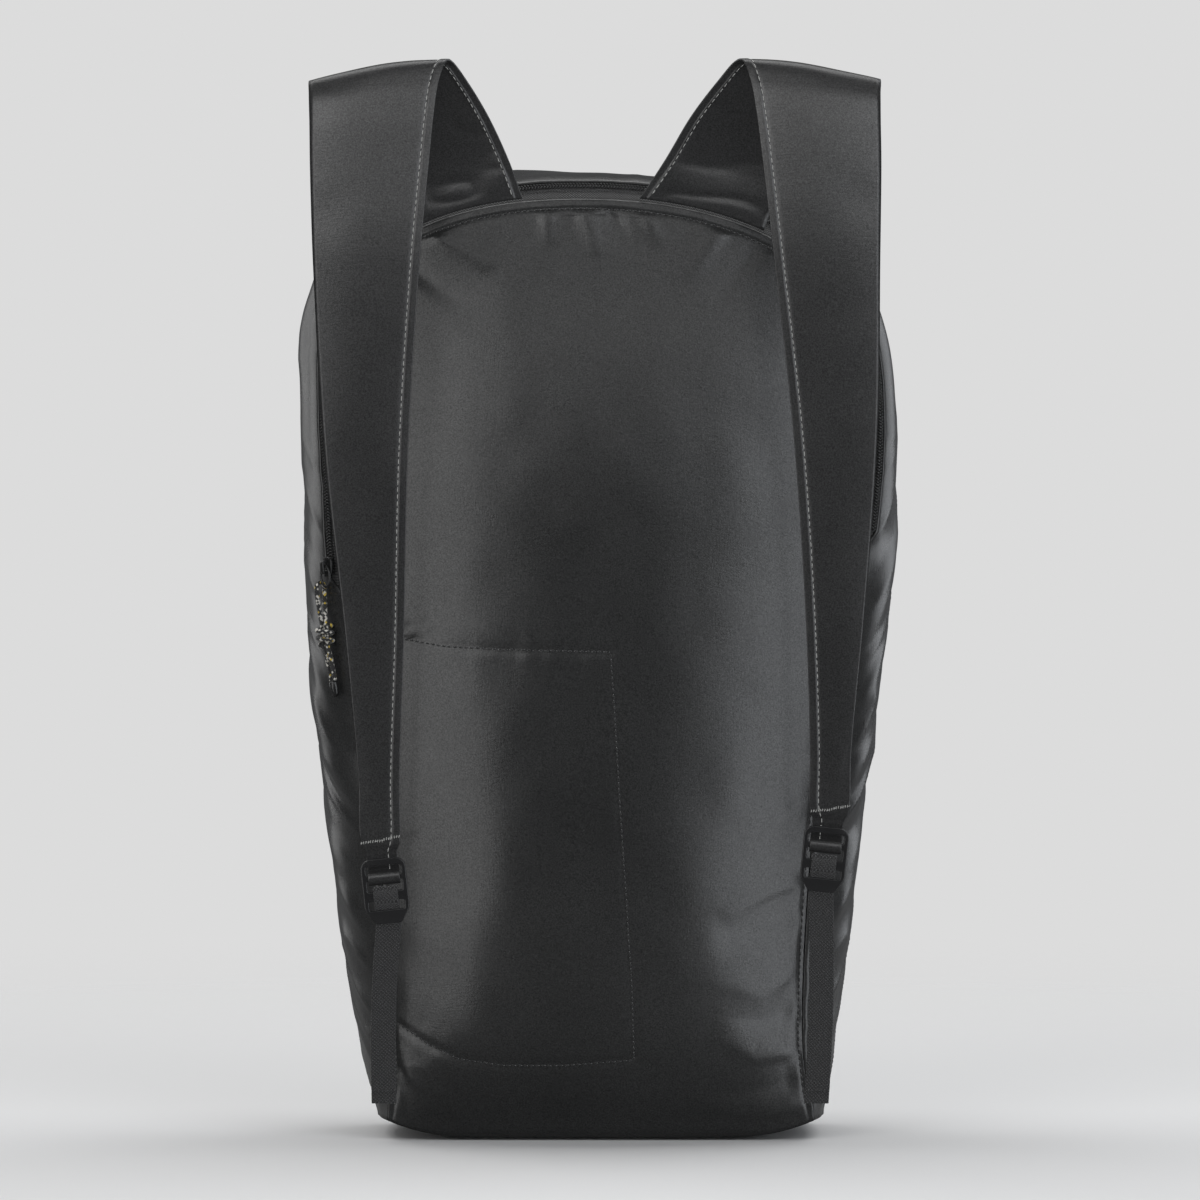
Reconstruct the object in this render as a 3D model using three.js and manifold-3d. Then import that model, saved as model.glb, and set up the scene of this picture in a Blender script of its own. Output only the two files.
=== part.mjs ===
// A packable daypack of thin coated nylon, stuffed full and standing on its base.
// Millimetres, +Z up, the back panel and its two shoulder straps facing -Y, the wearer's left strap at -X.
// It stands on z = 0, and the origin is under the middle of the box round it.
import * as THREE from "three";
import { mergeVertices } from "three/addons/utils/BufferGeometryUtils.js";
import Module from "manifold-3d";

const wasm = await Module();
wasm.setup();

// Driving sizes of the bag
const backCrest = 420; // height of the back panel's top seam at its middle
const frontCrest = 411; // the same on the front panel
const shoulderHeight = 320; // where the side seams turn into the arch of the top
const cornerHeight = 9; // how far the bottom corners lift off the floor
const bottomSeamHeight = 2; // the bottom seams' height at mid-width
const seamHalfWidth = 119; // half the width between the side seams at the shoulders
const sideBulge = 22; // how far the gusset swells past its seams
const gussetHalfDepth = 45; // half the depth between the back and front seams
const backBulge = 28; // the back panel's crown past its seams
const frontBulge = 33; // the front panel's crown
const cloth = 1.2; // wall of every cloth panel
const sewnGap = 0.5; // clearance between two pieces that are sewn together

// The zip: a coil chain on its tape, round the top from side to side
const tapeWidth = 17;
const tapeThickness = 0.8;
const tapeShown = 3; // bare tape between the back seam and the chain
const chainWidth = 4;
const chainThickness = 1.7;
const layGap = 0.3; // clearance between two pieces that lie on each other
const zipEndLeft = 255; // height of the chain's left end, under the slider
const zipEndRight = 274;

// The shoulder straps
const strapCrest = 478; // height of the fold over the shoulder
const strapHalfWidth = 31; // at that fold
const strapReach = 42; // how far the strap's front run stands off the back seam
const strapEndHalfWidth = 7; // in the ladder lock
const tackStep = 1; // how far below its bar tack the strap's turned-back end stops
const strapRootInner = 0.22; // where a strap is sewn into the arch, as a share of the seam's half width
const strapRootOuter = 0.67;
const archShift = 9; // how far the stuffed top leans towards -X

// The ladder locks
const lockWidth = 20;
const lockHeight = 23.6;
const lockThickness = 2.6;
const lockCorner = 4.5;
const lockRail = 2.1; // width of the frame's two side rails
const topBarHeight = 3;
const strapBarHeight = 2.2;
const webbingBarHeight = 4.2;
const lipHeight = 5.5; // the tapered thumb lip and the bottom bar together
const lipTip = 5.4; // half the lip's width at its tip
const strapBarRise = 3.2; // the strap's bar above the frame's middle
const webbingBarDrop = 4.9; // the webbing's bar below it
const lockBelowTack = 19.6; // from the strap's bar tack down to the frame's middle
const lockTilt = THREE.MathUtils.degToRad(6);

// The webbing between each ladder lock and the bottom corner
const webbingHalfWidth = 5.5;
const webbing = 1.2;
const webbingRootHeight = 17;
const webbingRootOut = 3; // how far its root's middle stands outside the side seam
const webbingTailHeight = 23;
const webbingBow = 1.2; // how far its run bows outwards

// The stow pocket sewn behind the back panel
const pocketLeft = 0.9; // its side edge, as a share of the seam's half width
const pocketRightHigh = 2.5; // where its slanting free edge stands at the top
const pocketRightLow = 12.5; // and at the bottom
const pocketTop = 221;
const pocketBottom = 36;
const pocketCloth = 1;
const pocketGap = 0.9; // between it and the back panel

// The slider and its pull
const sliderLength = 9;
const sliderWidth = 6.4;
const sliderPlate = 1.2;
const bridgeWidth = 2.2;
const bridgeHeight = 3.4;
const bridgeWire = 0.9;
const ringWire = 0.55; // radius of the ring's wire
const ringHalfWidth = 3.1;
const ringHalfLength = 4.6;
const cordDiameter = 2;
const knotRadius = 3.5;
const knotHole = 2.45; // radius of the way that the two strands take through the knot
const knotHeight = 8.5;
const tipRadius = 2;
const tipLength = 7;

// Sections of the bag from the floor up. Each column is a share of the size it follows.
// at: of backCrest. half: of seamHalfWidth. lean: of seamHalfWidth, towards -X where negative.
// swell: of sideBulge. depth: of gussetHalfDepth. back and front: of backBulge and frontBulge.
const sections = [
  { at: 0.022, half: 0.798, lean: -0.015, swell: 0.2, depth: 0.88, back: 0.55, front: 0.5 },
  { at: 0.058, half: 0.776, lean: -0.02, swell: 0.5, depth: 0.92, back: 0.68, front: 0.66 },
  { at: 0.122, half: 0.768, lean: -0.03, swell: 0.74, depth: 0.96, back: 0.85, front: 0.85 },
  { at: 0.261, half: 0.792, lean: -0.036, swell: 0.98, depth: 1, back: 1, front: 1 },
  { at: 0.376, half: 0.832, lean: -0.038, swell: 1.02, depth: 1, back: 1, front: 1 },
  { at: 0.511, half: 0.89, lean: -0.03, swell: 1.01, depth: 0.99, back: 1, front: 0.98 },
  { at: 0.626, half: 0.95, lean: -0.018, swell: 0.86, depth: 0.97, back: 0.96, front: 0.93 },
  { at: 0.719, half: 0.985, lean: -0.01, swell: 0.73, depth: 0.94, back: 0.88, front: 0.84 },
  { at: 0.827, half: 1, lean: -0.02, swell: 0.7, depth: 0.88, back: 0.7, front: 0.66 },
  { at: 0.911, half: 1, lean: -0.045, swell: 0.8, depth: 0.82, back: 0.5, front: 0.46 },
  { at: 1, half: 1, lean: -0.09, swell: 0.7, depth: 0.76, back: 0.3, front: 0.28 },
];

// Main folds and dents. Each runs between two places and fades past both.
// on: the face. across: on the panels of seamHalfWidth, on the sides of the gusset's depth from the back seam.
// up: of backCrest. reach: how wide, of sideBulge. rise: how high, or how deep where negative, of sideBulge.
const folds = [
  { on: "left", across: [0.5, 0.04], up: [0.5, 0.39], reach: 0.34, rise: 0.15 },
  { on: "left", across: [0.52, 0.06], up: [0.44, 0.33], reach: 0.34, rise: -0.13 },
  { on: "left", across: [0.95, 0.5], up: [0.36, 0.3], reach: 0.4, rise: -0.12 },
  { on: "left", across: [0.9, 0.55], up: [0.7, 0.62], reach: 0.4, rise: 0.12 },
  { on: "right", across: [0.5, 0.04], up: [0.71, 0.6], reach: 0.36, rise: -0.14 },
  { on: "right", across: [0.52, 0.05], up: [0.64, 0.54], reach: 0.34, rise: 0.13 },
  { on: "right", across: [0.06, 0.45], up: [0.3, 0.36], reach: 0.38, rise: -0.13 },
  { on: "right", across: [0.95, 0.5], up: [0.48, 0.42], reach: 0.4, rise: 0.12 },
  { on: "back", across: [0.74, 0.52], up: [0.27, 0.22], reach: 0.36, rise: -0.12 },
  { on: "back", across: [0.74, 0.5], up: [0.16, 0.14], reach: 0.36, rise: 0.11 },
  { on: "back", across: [-0.76, -0.54], up: [0.09, 0.05], reach: 0.38, rise: -0.14 },
  { on: "back", across: [-0.5, -0.72], up: [0.83, 0.9], reach: 0.4, rise: -0.12 },
  { on: "back", across: [0.44, 0.66], up: [0.84, 0.9], reach: 0.4, rise: -0.12 },
  { on: "front", across: [-0.7, -0.4], up: [0.12, 0.26], reach: 0.5, rise: -0.16 },
  { on: "front", across: [0.72, 0.42], up: [0.14, 0.3], reach: 0.5, rise: -0.16 },
  { on: "front", across: [-0.55, 0.1], up: [0.86, 0.8], reach: 0.5, rise: -0.14 },
];

// A shoulder strap from just above its root, over the shoulder fold, down to its bar tack.
// across: its middle, of seamHalfWidth. height: of strapCrest. reach: of strapReach. half: of strapHalfWidth.
// rise: of that half width, how much the inner edge stands above the middle. shift: of archShift.
const strapRun = [
  { across: 0.51, height: 0.9, reach: 0.08, half: 0.85, rise: 0.2, shift: 0.85 },
  { across: 0.612, height: 0.94, reach: 0.2, half: 0.91, rise: 0.22, shift: 0.72 },
  { across: 0.714, height: 0.973, reach: 0.37, half: 0.965, rise: 0.21, shift: 0.6 },
  { across: 0.779, height: 0.993, reach: 0.5, half: 0.99, rise: 0.18, shift: 0.55 },
  { across: 0.805, height: 0.997, reach: 0.66, half: 0.98, rise: 0.15, shift: 0.5 },
  { across: 0.819, height: 0.981, reach: 0.81, half: 0.925, rise: 0.11, shift: 0.5 },
  { across: 0.828, height: 0.954, reach: 0.91, half: 0.885, rise: 0.07, shift: 0.48 },
  { across: 0.838, height: 0.91, reach: 0.97, half: 0.845, rise: 0.04, shift: 0.45 },
  { across: 0.853, height: 0.817, reach: 1, half: 0.755, rise: 0.02, shift: 0.4 },
  { across: 0.87, height: 0.65, reach: 0.92, half: 0.6, rise: 0, shift: 0.2 },
  { across: 0.855, height: 0.47, reach: 0.8, half: 0.415, rise: 0, shift: 0 },
  { across: 0.841, height: 0.34, reach: 0.7, half: 0.295, rise: 0, shift: 0 },
  { across: 0.837, height: 0.284, reach: 0.66, half: 0.28, rise: 0, shift: 0 },
];
// How much higher each strap ends than the table says: the two are adjusted differently.
const straps = [
  { name: "left", side: -1, endLift: 0 },
  { name: "right", side: 1, endLift: 14 },
];

// The pull cord's middle line, from one cut end up through the knot and the ring and back down.
const cordRoute = [
  [-121.8, -38.8, 205.6], [-122.4, -38.7, 209], [-123.2, -38.6, 213], [-124.1, -38.4, 217.5],
  [-125.1, -38.3, 221.5], [-125.7, -38.2, 226], [-126, -38.05, 230.5], [-127, -38.3, 236],
  [-128, -38.4, 242], [-128.4, -38.1, 247], [-128.1, -37.8, 248.6], [-126.9, -36.9, 249.3],
  [-125.7, -36.1, 248.7], [-125.1, -35.7, 247.2], [-124.9, -36.2, 242], [-124.6, -37.8, 236],
  [-124.2, -39.6, 230.5], [-124, -39.85, 226], [-123.5, -40, 221.5], [-122.5, -40.1, 217.5],
  [-121.6, -40.2, 213], [-120.8, -40.3, 209], [-120.2, -40.4, 205.6],
];

const nylon = new THREE.MeshStandardMaterial({ color: 0x2b2d2e, roughness: 0.42, metalness: 0 });
const strapNylon = new THREE.MeshStandardMaterial({ color: 0x252627, roughness: 0.5, metalness: 0 });
const webbingWeave = new THREE.MeshStandardMaterial({ color: 0x1f2021, roughness: 0.8, metalness: 0 });
const tapeWeave = new THREE.MeshStandardMaterial({ color: 0x1c1d1e, roughness: 0.85, metalness: 0 });
const coilPlastic = new THREE.MeshStandardMaterial({ color: 0x151616, roughness: 0.35, metalness: 0 });
const lockPlastic = new THREE.MeshStandardMaterial({ color: 0x232425, roughness: 0.45, metalness: 0 });
const sliderPaint = new THREE.MeshStandardMaterial({ color: 0x101010, roughness: 0.3, metalness: 0.4 });
const cordWeave = new THREE.MeshStandardMaterial({ color: 0x1a1a19, roughness: 0.7, metalness: 0 });

// One column of a table read at any height, smooth through its rows.
function column(rows, key, value) {
  const last = rows.length - 1;
  const x = THREE.MathUtils.clamp(value, rows[0].at, rows[last].at);
  let i = 0;
  while (i < last - 1 && x > rows[i + 1].at) i += 1;
  const slope = (j) => {
    const low = rows[Math.max(j - 1, 0)];
    const high = rows[Math.min(j + 1, last)];
    return (high[key] - low[key]) / (high.at - low.at);
  };
  const width = rows[i + 1].at - rows[i].at;
  const t = (x - rows[i].at) / width;
  const bend = t * t * (3 - 2 * t);
  return (
    rows[i][key] * (1 - bend) +
    rows[i + 1][key] * bend +
    width * (slope(i) * t * (1 - t) * (1 - t) - slope(i + 1) * t * t * (1 - t))
  );
}

const section = (key, z) => column(sections, key, z / backCrest);
const halfWidthAt = (z) => seamHalfWidth * section("half", z);
const leanAt = (z) => seamHalfWidth * section("lean", z);
const depthAt = (z) => gussetHalfDepth * section("depth", z);

// The arch of the top is a superellipse: angle 0 at the crest, a quarter turn at the shoulder.
const archWidthPower = 2 / 2.1;
const archHeightPower = 2 / 3.3;
const archAcross = (angle) => Math.sign(angle) * Math.sin(Math.abs(angle)) ** archWidthPower;
const archRise = (angle) => Math.max(Math.cos(angle), 0) ** archHeightPower;
const archShare = 0.36; // share of each half of the gusset's length that lies on the arch

// facing: -1 for the back seam, 1 for the front seam.
const crestOf = (facing) => (facing < 0 ? backCrest : frontCrest);
const shoulderOf = (facing) => shoulderHeight - (backCrest - crestOf(facing));

// A point of a seam. t runs from -1 at the left bottom corner, over the crest at 0, to 1.
function seamPoint(facing, t) {
  const reach = Math.abs(t);
  const shoulder = shoulderOf(facing);
  let x, z;
  if (reach > archShare) {
    z = THREE.MathUtils.lerp(shoulder, cornerHeight, (reach - archShare) / (1 - archShare));
    x = Math.sign(t) * halfWidthAt(z);
  } else {
    const angle = (t / archShare) * (Math.PI / 2);
    z = shoulder + (crestOf(facing) - shoulder) * archRise(angle);
    x = halfWidthAt(shoulder) * archAcross(angle);
  }
  return new THREE.Vector3(x + leanAt(z), facing * depthAt(z), z);
}

const seamAtHeight = (z) => archShare + ((1 - archShare) * (shoulderHeight - z)) / (shoulderHeight - cornerHeight);

// How full a bulge stands at a share of the way across, 0 at both seams and 1 between them.
const acrossPower = 2.4;
const gussetCrown = (s) => (1 - Math.abs(2 * s - 1) ** acrossPower) ** 0.8;
const panelCrown = (a, v) => (1 - Math.abs(a) ** acrossPower) * (1 - v ** 7) ** 0.8 * (1 - (1 - v) ** 9) ** 0.7;
const foldShare = (crown) => Math.min(1, 2 * crown); // a fold dies out close to a seam

// How far the folds of a face lift the cloth at a place, given in millimetres across and up.
function foldRise(face, acrossSize, across, up) {
  let rise = 0;
  for (const fold of folds) {
    if (fold.on !== face) continue;
    const from = new THREE.Vector2(fold.across[0] * acrossSize, fold.up[0] * backCrest);
    const run = new THREE.Vector2(fold.across[1] * acrossSize, fold.up[1] * backCrest).sub(from);
    const here = new THREE.Vector2(across, up).sub(from);
    const share = THREE.MathUtils.clamp(here.dot(run) / run.lengthSq(), 0, 1);
    const away = here.addScaledVector(run, -share).length() / (fold.reach * sideBulge);
    rise += fold.rise * sideBulge * Math.exp(-away * away);
  }
  return rise;
}

// A point of the gusset's middle surface. s runs from 0 at the back seam to 1 at the front seam.
const nudge = 1e-3;
function gussetPoint(t, s) {
  const middle = (u) => seamPoint(-1, u).lerp(seamPoint(1, u), 0.5);
  const along = middle(Math.min(t + nudge, 1)).sub(middle(Math.max(t - nudge, -1)));
  const outward = new THREE.Vector3(-along.z, 0, along.x).normalize();
  const point = seamPoint(-1, t).lerp(seamPoint(1, t), s);
  const crown = gussetCrown(s);
  const depth = 2 * gussetHalfDepth;
  const rise = foldRise(t < 0 ? "left" : "right", depth, s * depth, point.z) * foldShare(crown);
  return point.addScaledVector(outward, sideBulge * section("swell", point.z) * crown + rise);
}

// How far each bottom seam and the base's rim lift, 0 over the flat and 1 at the corners.
const flatAcross = 0.66; // how much of the base's half width lies flat
const flatDeep = 0.72; // and of its half depth
const lift = (share, flat) => Math.max(0, (Math.abs(share) - flat) / (1 - flat)) ** 2;
const bottomSeam = (a) => THREE.MathUtils.lerp(bottomSeamHeight, cornerHeight, lift(a, flatAcross));

// A point of the back or front panel's middle surface. a is a share of the half width, v of the height.
function panelPoint(facing, a, v) {
  const angle = Math.sign(a) * Math.asin(Math.min(Math.abs(a), 1) ** (1 / archWidthPower));
  const shoulder = shoulderOf(facing);
  const top = shoulder + (crestOf(facing) - shoulder) * archRise(angle);
  const z = THREE.MathUtils.lerp(bottomSeam(a), top, v);
  const crown = panelCrown(a, v);
  const bulge = facing < 0 ? backBulge * section("back", z) : frontBulge * section("front", z);
  const across = a * halfWidthAt(Math.min(z, shoulder));
  const rise = foldRise(facing < 0 ? "back" : "front", seamHalfWidth, across, z) * foldShare(crown);
  return new THREE.Vector3(across + leanAt(z), facing * (depthAt(z) + bulge * crown + rise), z);
}

// A closed cloth wall: a flat box of cells, carried onto a surface and given its thickness.
// raise moves the wall off the surface, towards the cross of the two directions.
function wall(surface, columns, rows, thickness, raise = 0) {
  const geometry = new THREE.BoxGeometry(1, 1, 1, columns, rows, 1);
  const places = geometry.getAttribute("position");
  const step = 1e-4;
  for (let i = 0; i < places.count; i += 1) {
    const u = places.getX(i) + 0.5;
    const v = places.getY(i) + 0.5;
    const uLow = Math.max(u - step, 0);
    const vLow = Math.max(v - step, 0);
    const inU = THREE.MathUtils.clamp(u, step, 1 - step);
    const inV = THREE.MathUtils.clamp(v, step, 1 - step);
    const du = surface(Math.min(u + step, 1), inV).sub(surface(uLow, inV));
    const dv = surface(inU, Math.min(v + step, 1)).sub(surface(inU, vLow));
    const normal = du.cross(dv).normalize();
    const point = surface(u, v).addScaledVector(normal, raise + places.getZ(i) * thickness);
    places.setXYZ(i, point.x, point.y, point.z);
  }
  geometry.computeVertexNormals();
  return geometry;
}

// The share of a list of rows at v, where each row takes an equal part of v.
function rowShare(rows, v) {
  const place = v * (rows.length - 1);
  const row = Math.min(Math.floor(place), rows.length - 2);
  return THREE.MathUtils.lerp(rows[row], rows[row + 1], place - row);
}

function piece(name, geometry, material) {
  const mesh = new THREE.Mesh(geometry, material);
  mesh.name = name;
  return mesh;
}

// The back and front panels, each whole from the bottom seam to the arch.
const panelColumns = 18;
const panelRows = 20;
const spreadAngle = (u) => (u - 0.5) * Math.PI;
function panel(facing) {
  const surface = (u, v) => panelPoint(facing, archAcross(spreadAngle(u)), v);
  return wall(surface, panelColumns, panelRows, cloth);
}

// Across the gusset, in millimetres from the back seam at that place.
const gussetWidth = (t) => seamPoint(-1, t).distanceTo(seamPoint(1, t));
const seamInset = cloth / 2 + sewnGap;
const chainStart = seamInset + tapeShown;
const zipEdge = chainStart + chainWidth + sewnGap;
const zipFade = 0.025; // how much of the gusset's run its edge takes to close in past each end of the zip
const zipColumns = 46;
const sideColumns = 11;
const gussetRows = [0, 0.085, 0.23, 0.4, 0.58, 0.76, 0.91, 1]; // shares of its width from the zip's edge
const zipLeft = -seamAtHeight(zipEndLeft);
const zipRight = seamAtHeight(zipEndRight);

// The gusset's columns stand where the zip's do, so that both bend at the same places.
const gussetRuns = [
  { from: -1, to: zipLeft - zipFade, columns: sideColumns },
  { from: zipLeft - zipFade, to: zipLeft, columns: 1 },
  { from: zipLeft, to: zipRight, columns: zipColumns },
  { from: zipRight, to: zipRight + zipFade, columns: 1 },
  { from: zipRight + zipFade, to: 1, columns: sideColumns },
];
const gussetColumns = gussetRuns.reduce((sum, run) => sum + run.columns, 0);
function gussetRun(u) {
  let passed = u * gussetColumns;
  for (const run of gussetRuns) {
    if (passed <= run.columns) return THREE.MathUtils.lerp(run.from, run.to, passed / run.columns);
    passed -= run.columns;
  }
  return 1;
}

function gusset() {
  const surface = (u, v) => {
    const t = gussetRun(u);
    const width = gussetWidth(t);
    const open = Math.min(1, Math.max(0, 1 + Math.min(t - zipLeft, zipRight - t) / zipFade));
    const start = THREE.MathUtils.lerp(seamInset, zipEdge, open) / width;
    return gussetPoint(t, THREE.MathUtils.lerp(start, 1 - seamInset / width, rowShare(gussetRows, v)));
  };
  return wall(surface, gussetColumns, gussetRows.length - 1, cloth);
}

// A strip that follows the zip, from one distance off the back seam to another.
function zipStrip(from, to, rows, thickness, raise) {
  const surface = (u, v) => {
    const t = THREE.MathUtils.lerp(zipLeft, zipRight, u);
    return gussetPoint(t, THREE.MathUtils.lerp(from, to, v) / gussetWidth(t));
  };
  return wall(surface, zipColumns, rows, thickness, raise);
}
const tapeDrop = cloth / 2 + 2 * layGap + tapeThickness / 2; // the tape's middle below the gusset's
const chainRaise = tapeThickness / 2 + layGap + chainThickness / 2 - tapeDrop;

// The base, flat where it rests and lifted towards its corners.
function base() {
  const halfX = halfWidthAt(cornerHeight) - cloth / 2 - sewnGap;
  const halfY = depthAt(cornerHeight) - cloth / 2 - sewnGap;
  const surface = (u, v) => {
    const a = 2 * u - 1;
    const b = 2 * v - 1;
    const corner = lift(a, flatAcross);
    const height = bottomSeamHeight * lift(b, flatDeep) * (1 - corner) + cornerHeight * corner;
    return new THREE.Vector3(a * halfX + leanAt(height), b * halfY, cloth / 2 + height);
  };
  return wall(surface, 14, 8, cloth);
}

// The stow pocket's panel, close behind the back panel's inner face.
function stowPocket() {
  const panelShare = (z) => (z - bottomSeamHeight) / (backCrest - bottomSeamHeight);
  const surface = (u, v) => {
    const z = THREE.MathUtils.lerp(pocketBottom, pocketTop, v);
    const right = THREE.MathUtils.lerp(pocketRightLow, pocketRightHigh, v) - leanAt(z);
    const a = THREE.MathUtils.lerp(-pocketLeft, right / halfWidthAt(z), u);
    return panelPoint(-1, a, panelShare(z));
  };
  return wall(surface, 10, 8, pocketCloth, -(cloth / 2 + pocketGap + pocketCloth / 2));
}

// A flat band of cloth between two edges, each a smooth curve through its stations. A first edge given as a
// function of the share across replaces the straight first end.
function band(inner, outer, columns, rows, thickness, firstEdge) {
  const innerCurve = new THREE.CatmullRomCurve3(inner, false, "centripetal");
  const outerCurve = new THREE.CatmullRomCurve3(outer, false, "centripetal");
  const surface = (u, v) => {
    const point = innerCurve.getPoint(u).lerp(outerCurve.getPoint(u), v);
    const near = (1 - Math.min(1, u * (inner.length - 1))) ** 2;
    if (!firstEdge || near === 0) return point;
    const chord = inner[0].clone().lerp(outer[0], v);
    return point.addScaledVector(firstEdge(v).sub(chord), near);
  };
  return wall(surface, columns, rows, thickness);
}

// The middle of a strap's station, and its inner edge when edge is 1 or its outer edge when it is -1.
const tackHeight = strapCrest * strapRun[strapRun.length - 1].height;
const rootDepth = depthAt(backCrest);
function strapStation(strap, row, edge) {
  const half = strapHalfWidth * row.half * edge;
  const z = strapCrest * row.height + half * row.rise;
  const drop = (strapCrest - z) / (strapCrest - tackHeight);
  const x = strap.side * (seamHalfWidth * row.across - half) - archShift * row.shift;
  return new THREE.Vector3(x, -rootDepth - strapReach * row.reach, z + strap.endLift * drop);
}

// The frame of a ladder lock: its middle, and its directions across, towards the bag and up the strap.
function lockFrame(strap) {
  const tack = strapStation(strap, strapRun[strapRun.length - 1], 0);
  const tilt = strap.side * lockTilt;
  const across = new THREE.Vector3(Math.cos(tilt), 0, -Math.sin(tilt));
  const up = new THREE.Vector3(Math.sin(tilt), 0, Math.cos(tilt));
  const middle = tack.addScaledVector(up, -lockBelowTack);
  const place = (x, y, z) =>
    middle.clone().addScaledVector(across, x).addScaledVector(up, z).add(new THREE.Vector3(0, y, 0));
  return { middle, tilt, place };
}

// Cloth wraps the edges of a bar with this radius, at its middle surface.
const wrapRadius = (thickness) => Math.hypot(strapBarHeight, lockThickness) / 2 + 1.5 * layGap + thickness / 2;

// Stations of a turn round a bar: y towards the bag, z up, from one angle to another in degrees.
function turn(centreHeight, radius, from, to, count) {
  return Array.from({ length: count }, (_, i) => {
    const angle = THREE.MathUtils.degToRad(THREE.MathUtils.lerp(from, to, i / (count - 1)));
    return [radius * Math.cos(angle), centreHeight + radius * Math.sin(angle)];
  });
}

// A strap: out of the arch's seam, over the shoulder fold, down to its bar tack and round its bar.
function shoulderStrap(strap) {
  const rootEdge = (share) => {
    const angle = Math.asin(share ** (1 / archWidthPower));
    const seam = seamPoint(-1, (strap.side * angle * archShare) / (Math.PI / 2));
    return seam.add(new THREE.Vector3(0, -cloth / 2, cloth / 2 + 2 * sewnGap));
  };
  const frame = lockFrame(strap);
  const radius = wrapRadius(cloth);
  const behind = lockThickness / 2 + layGap + cloth / 2;
  const layer = cloth + 2 * layGap; // from the strap's middle to that of its turned-back end
  const topBar = lockHeight / 2 - topBarHeight / 2;
  const underTopBar = topBar - topBarHeight / 2 - layGap;
  const local = [
    [behind * 0.8, topBar + 4.5],
    [behind + layGap, topBar + 0.5],
    [behind + 0.1, underTopBar],
    [0, (underTopBar + strapBarRise + strapBarHeight / 2) / 2 - 0.4],
    ...turn(strapBarRise, radius, 140, 380, 9),
    [behind + layer, underTopBar - 1.1],
    [behind + layer + layGap, topBar + 0.5],
    [behind * 0.8 + layer, topBar + 4.5],
    [layer + 0.2, lockBelowTack - tackStep],
  ];
  const edge = (way) => [
    rootEdge(way > 0 ? strapRootInner : strapRootOuter),
    ...strapRun.map((row) => strapStation(strap, row, way)),
    ...local.map(([y, z]) => frame.place(-strap.side * way * strapEndHalfWidth, y, z)),
  ];
  const root = (v) => rootEdge(THREE.MathUtils.lerp(strapRootInner, strapRootOuter, v));
  const [inner, outer] = [edge(1), edge(-1)];
  return strap.side < 0
    ? band(inner, outer, 62, 2, cloth, root)
    : band(outer, inner, 62, 2, cloth, (v) => root(1 - v));
}

// Webbing: from the side seam's bottom corner up behind the lock, over its bar and back down as a tail.
function adjusterWebbing(strap) {
  const frame = lockFrame(strap);
  const radius = wrapRadius(webbing);
  const behindLip = lockThickness / 2 + 0.4 + webbing / 2;
  const layer = webbing + 0.5;
  const rootX = strap.side * (halfWidthAt(webbingRootHeight) + webbingRootOut) + leanAt(webbingRootHeight);
  const rootY = -depthAt(webbingRootHeight) - cloth / 2 - 2 * sewnGap - webbing / 2;
  const lipEnd = -lockHeight / 2 - lipHeight;
  const root = new THREE.Vector3(rootX, rootY, webbingRootHeight);
  const lock = frame.place(0, behindLip + layer, lipEnd + 1.5);
  const middleAt = (share, forward) =>
    new THREE.Vector3(
      THREE.MathUtils.lerp(lock.x, root.x, share) + strap.side * webbingBow * Math.sin(Math.PI * share),
      THREE.MathUtils.lerp(lock.y, root.y, share) - forward,
      THREE.MathUtils.lerp(lock.z, root.z, share),
    );
  const tailShare = (lock.z - webbingTailHeight) / (lock.z - root.z);
  const upperTurn = -webbingBarDrop + (webbingBarHeight - strapBarHeight) / 2;
  const lowerTurn = -webbingBarDrop - (webbingBarHeight - strapBarHeight) / 2;
  const local = [
    [behindLip + layer, lowerTurn - 5],
    [radius + 0.9, lowerTurn - 1.6],
    ...turn(upperTurn, radius, 0, 180, 7),
    ...turn(lowerTurn, radius, 180, 215, 2),
    [0.2, lowerTurn - 2.8],
    [behindLip, lowerTurn - 4.9],
    [behindLip, lipEnd + 4],
  ];
  const run = [1, 0.8, 0.6, 0.4, 0.2, 0].map((share) => middleAt(share, 0));
  const tail = [0, 0.25, 0.5, 0.75, 1].map((share) => middleAt(share * tailShare, layer));
  const across = new THREE.Vector3(webbingHalfWidth, 0, 0);
  const edge = (way) => [
    ...run.map((point) => point.clone().addScaledVector(across, way)),
    ...local.map(([y, z]) => frame.place(way * webbingHalfWidth, y, z)),
    ...tail.map((point) => point.clone().addScaledVector(across, way)),
  ];
  return band(edge(-1), edge(1), 54, 1, webbing);
}

// A rectangle with round corners, drawn into a shape or a hole.
function roundedRectangle(path, left, right, low, high, radius) {
  path.moveTo(left + radius, low);
  path.lineTo(right - radius, low);
  path.absarc(right - radius, low + radius, radius, -Math.PI / 2, 0, false);
  path.lineTo(right, high - radius);
  path.absarc(right - radius, high - radius, radius, 0, Math.PI / 2, false);
  path.lineTo(left + radius, high);
  path.absarc(left + radius, high - radius, radius, Math.PI / 2, Math.PI, false);
  path.lineTo(left, low + radius);
  path.absarc(left + radius, low + radius, radius, Math.PI, 1.5 * Math.PI, false);
  return path;
}

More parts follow.
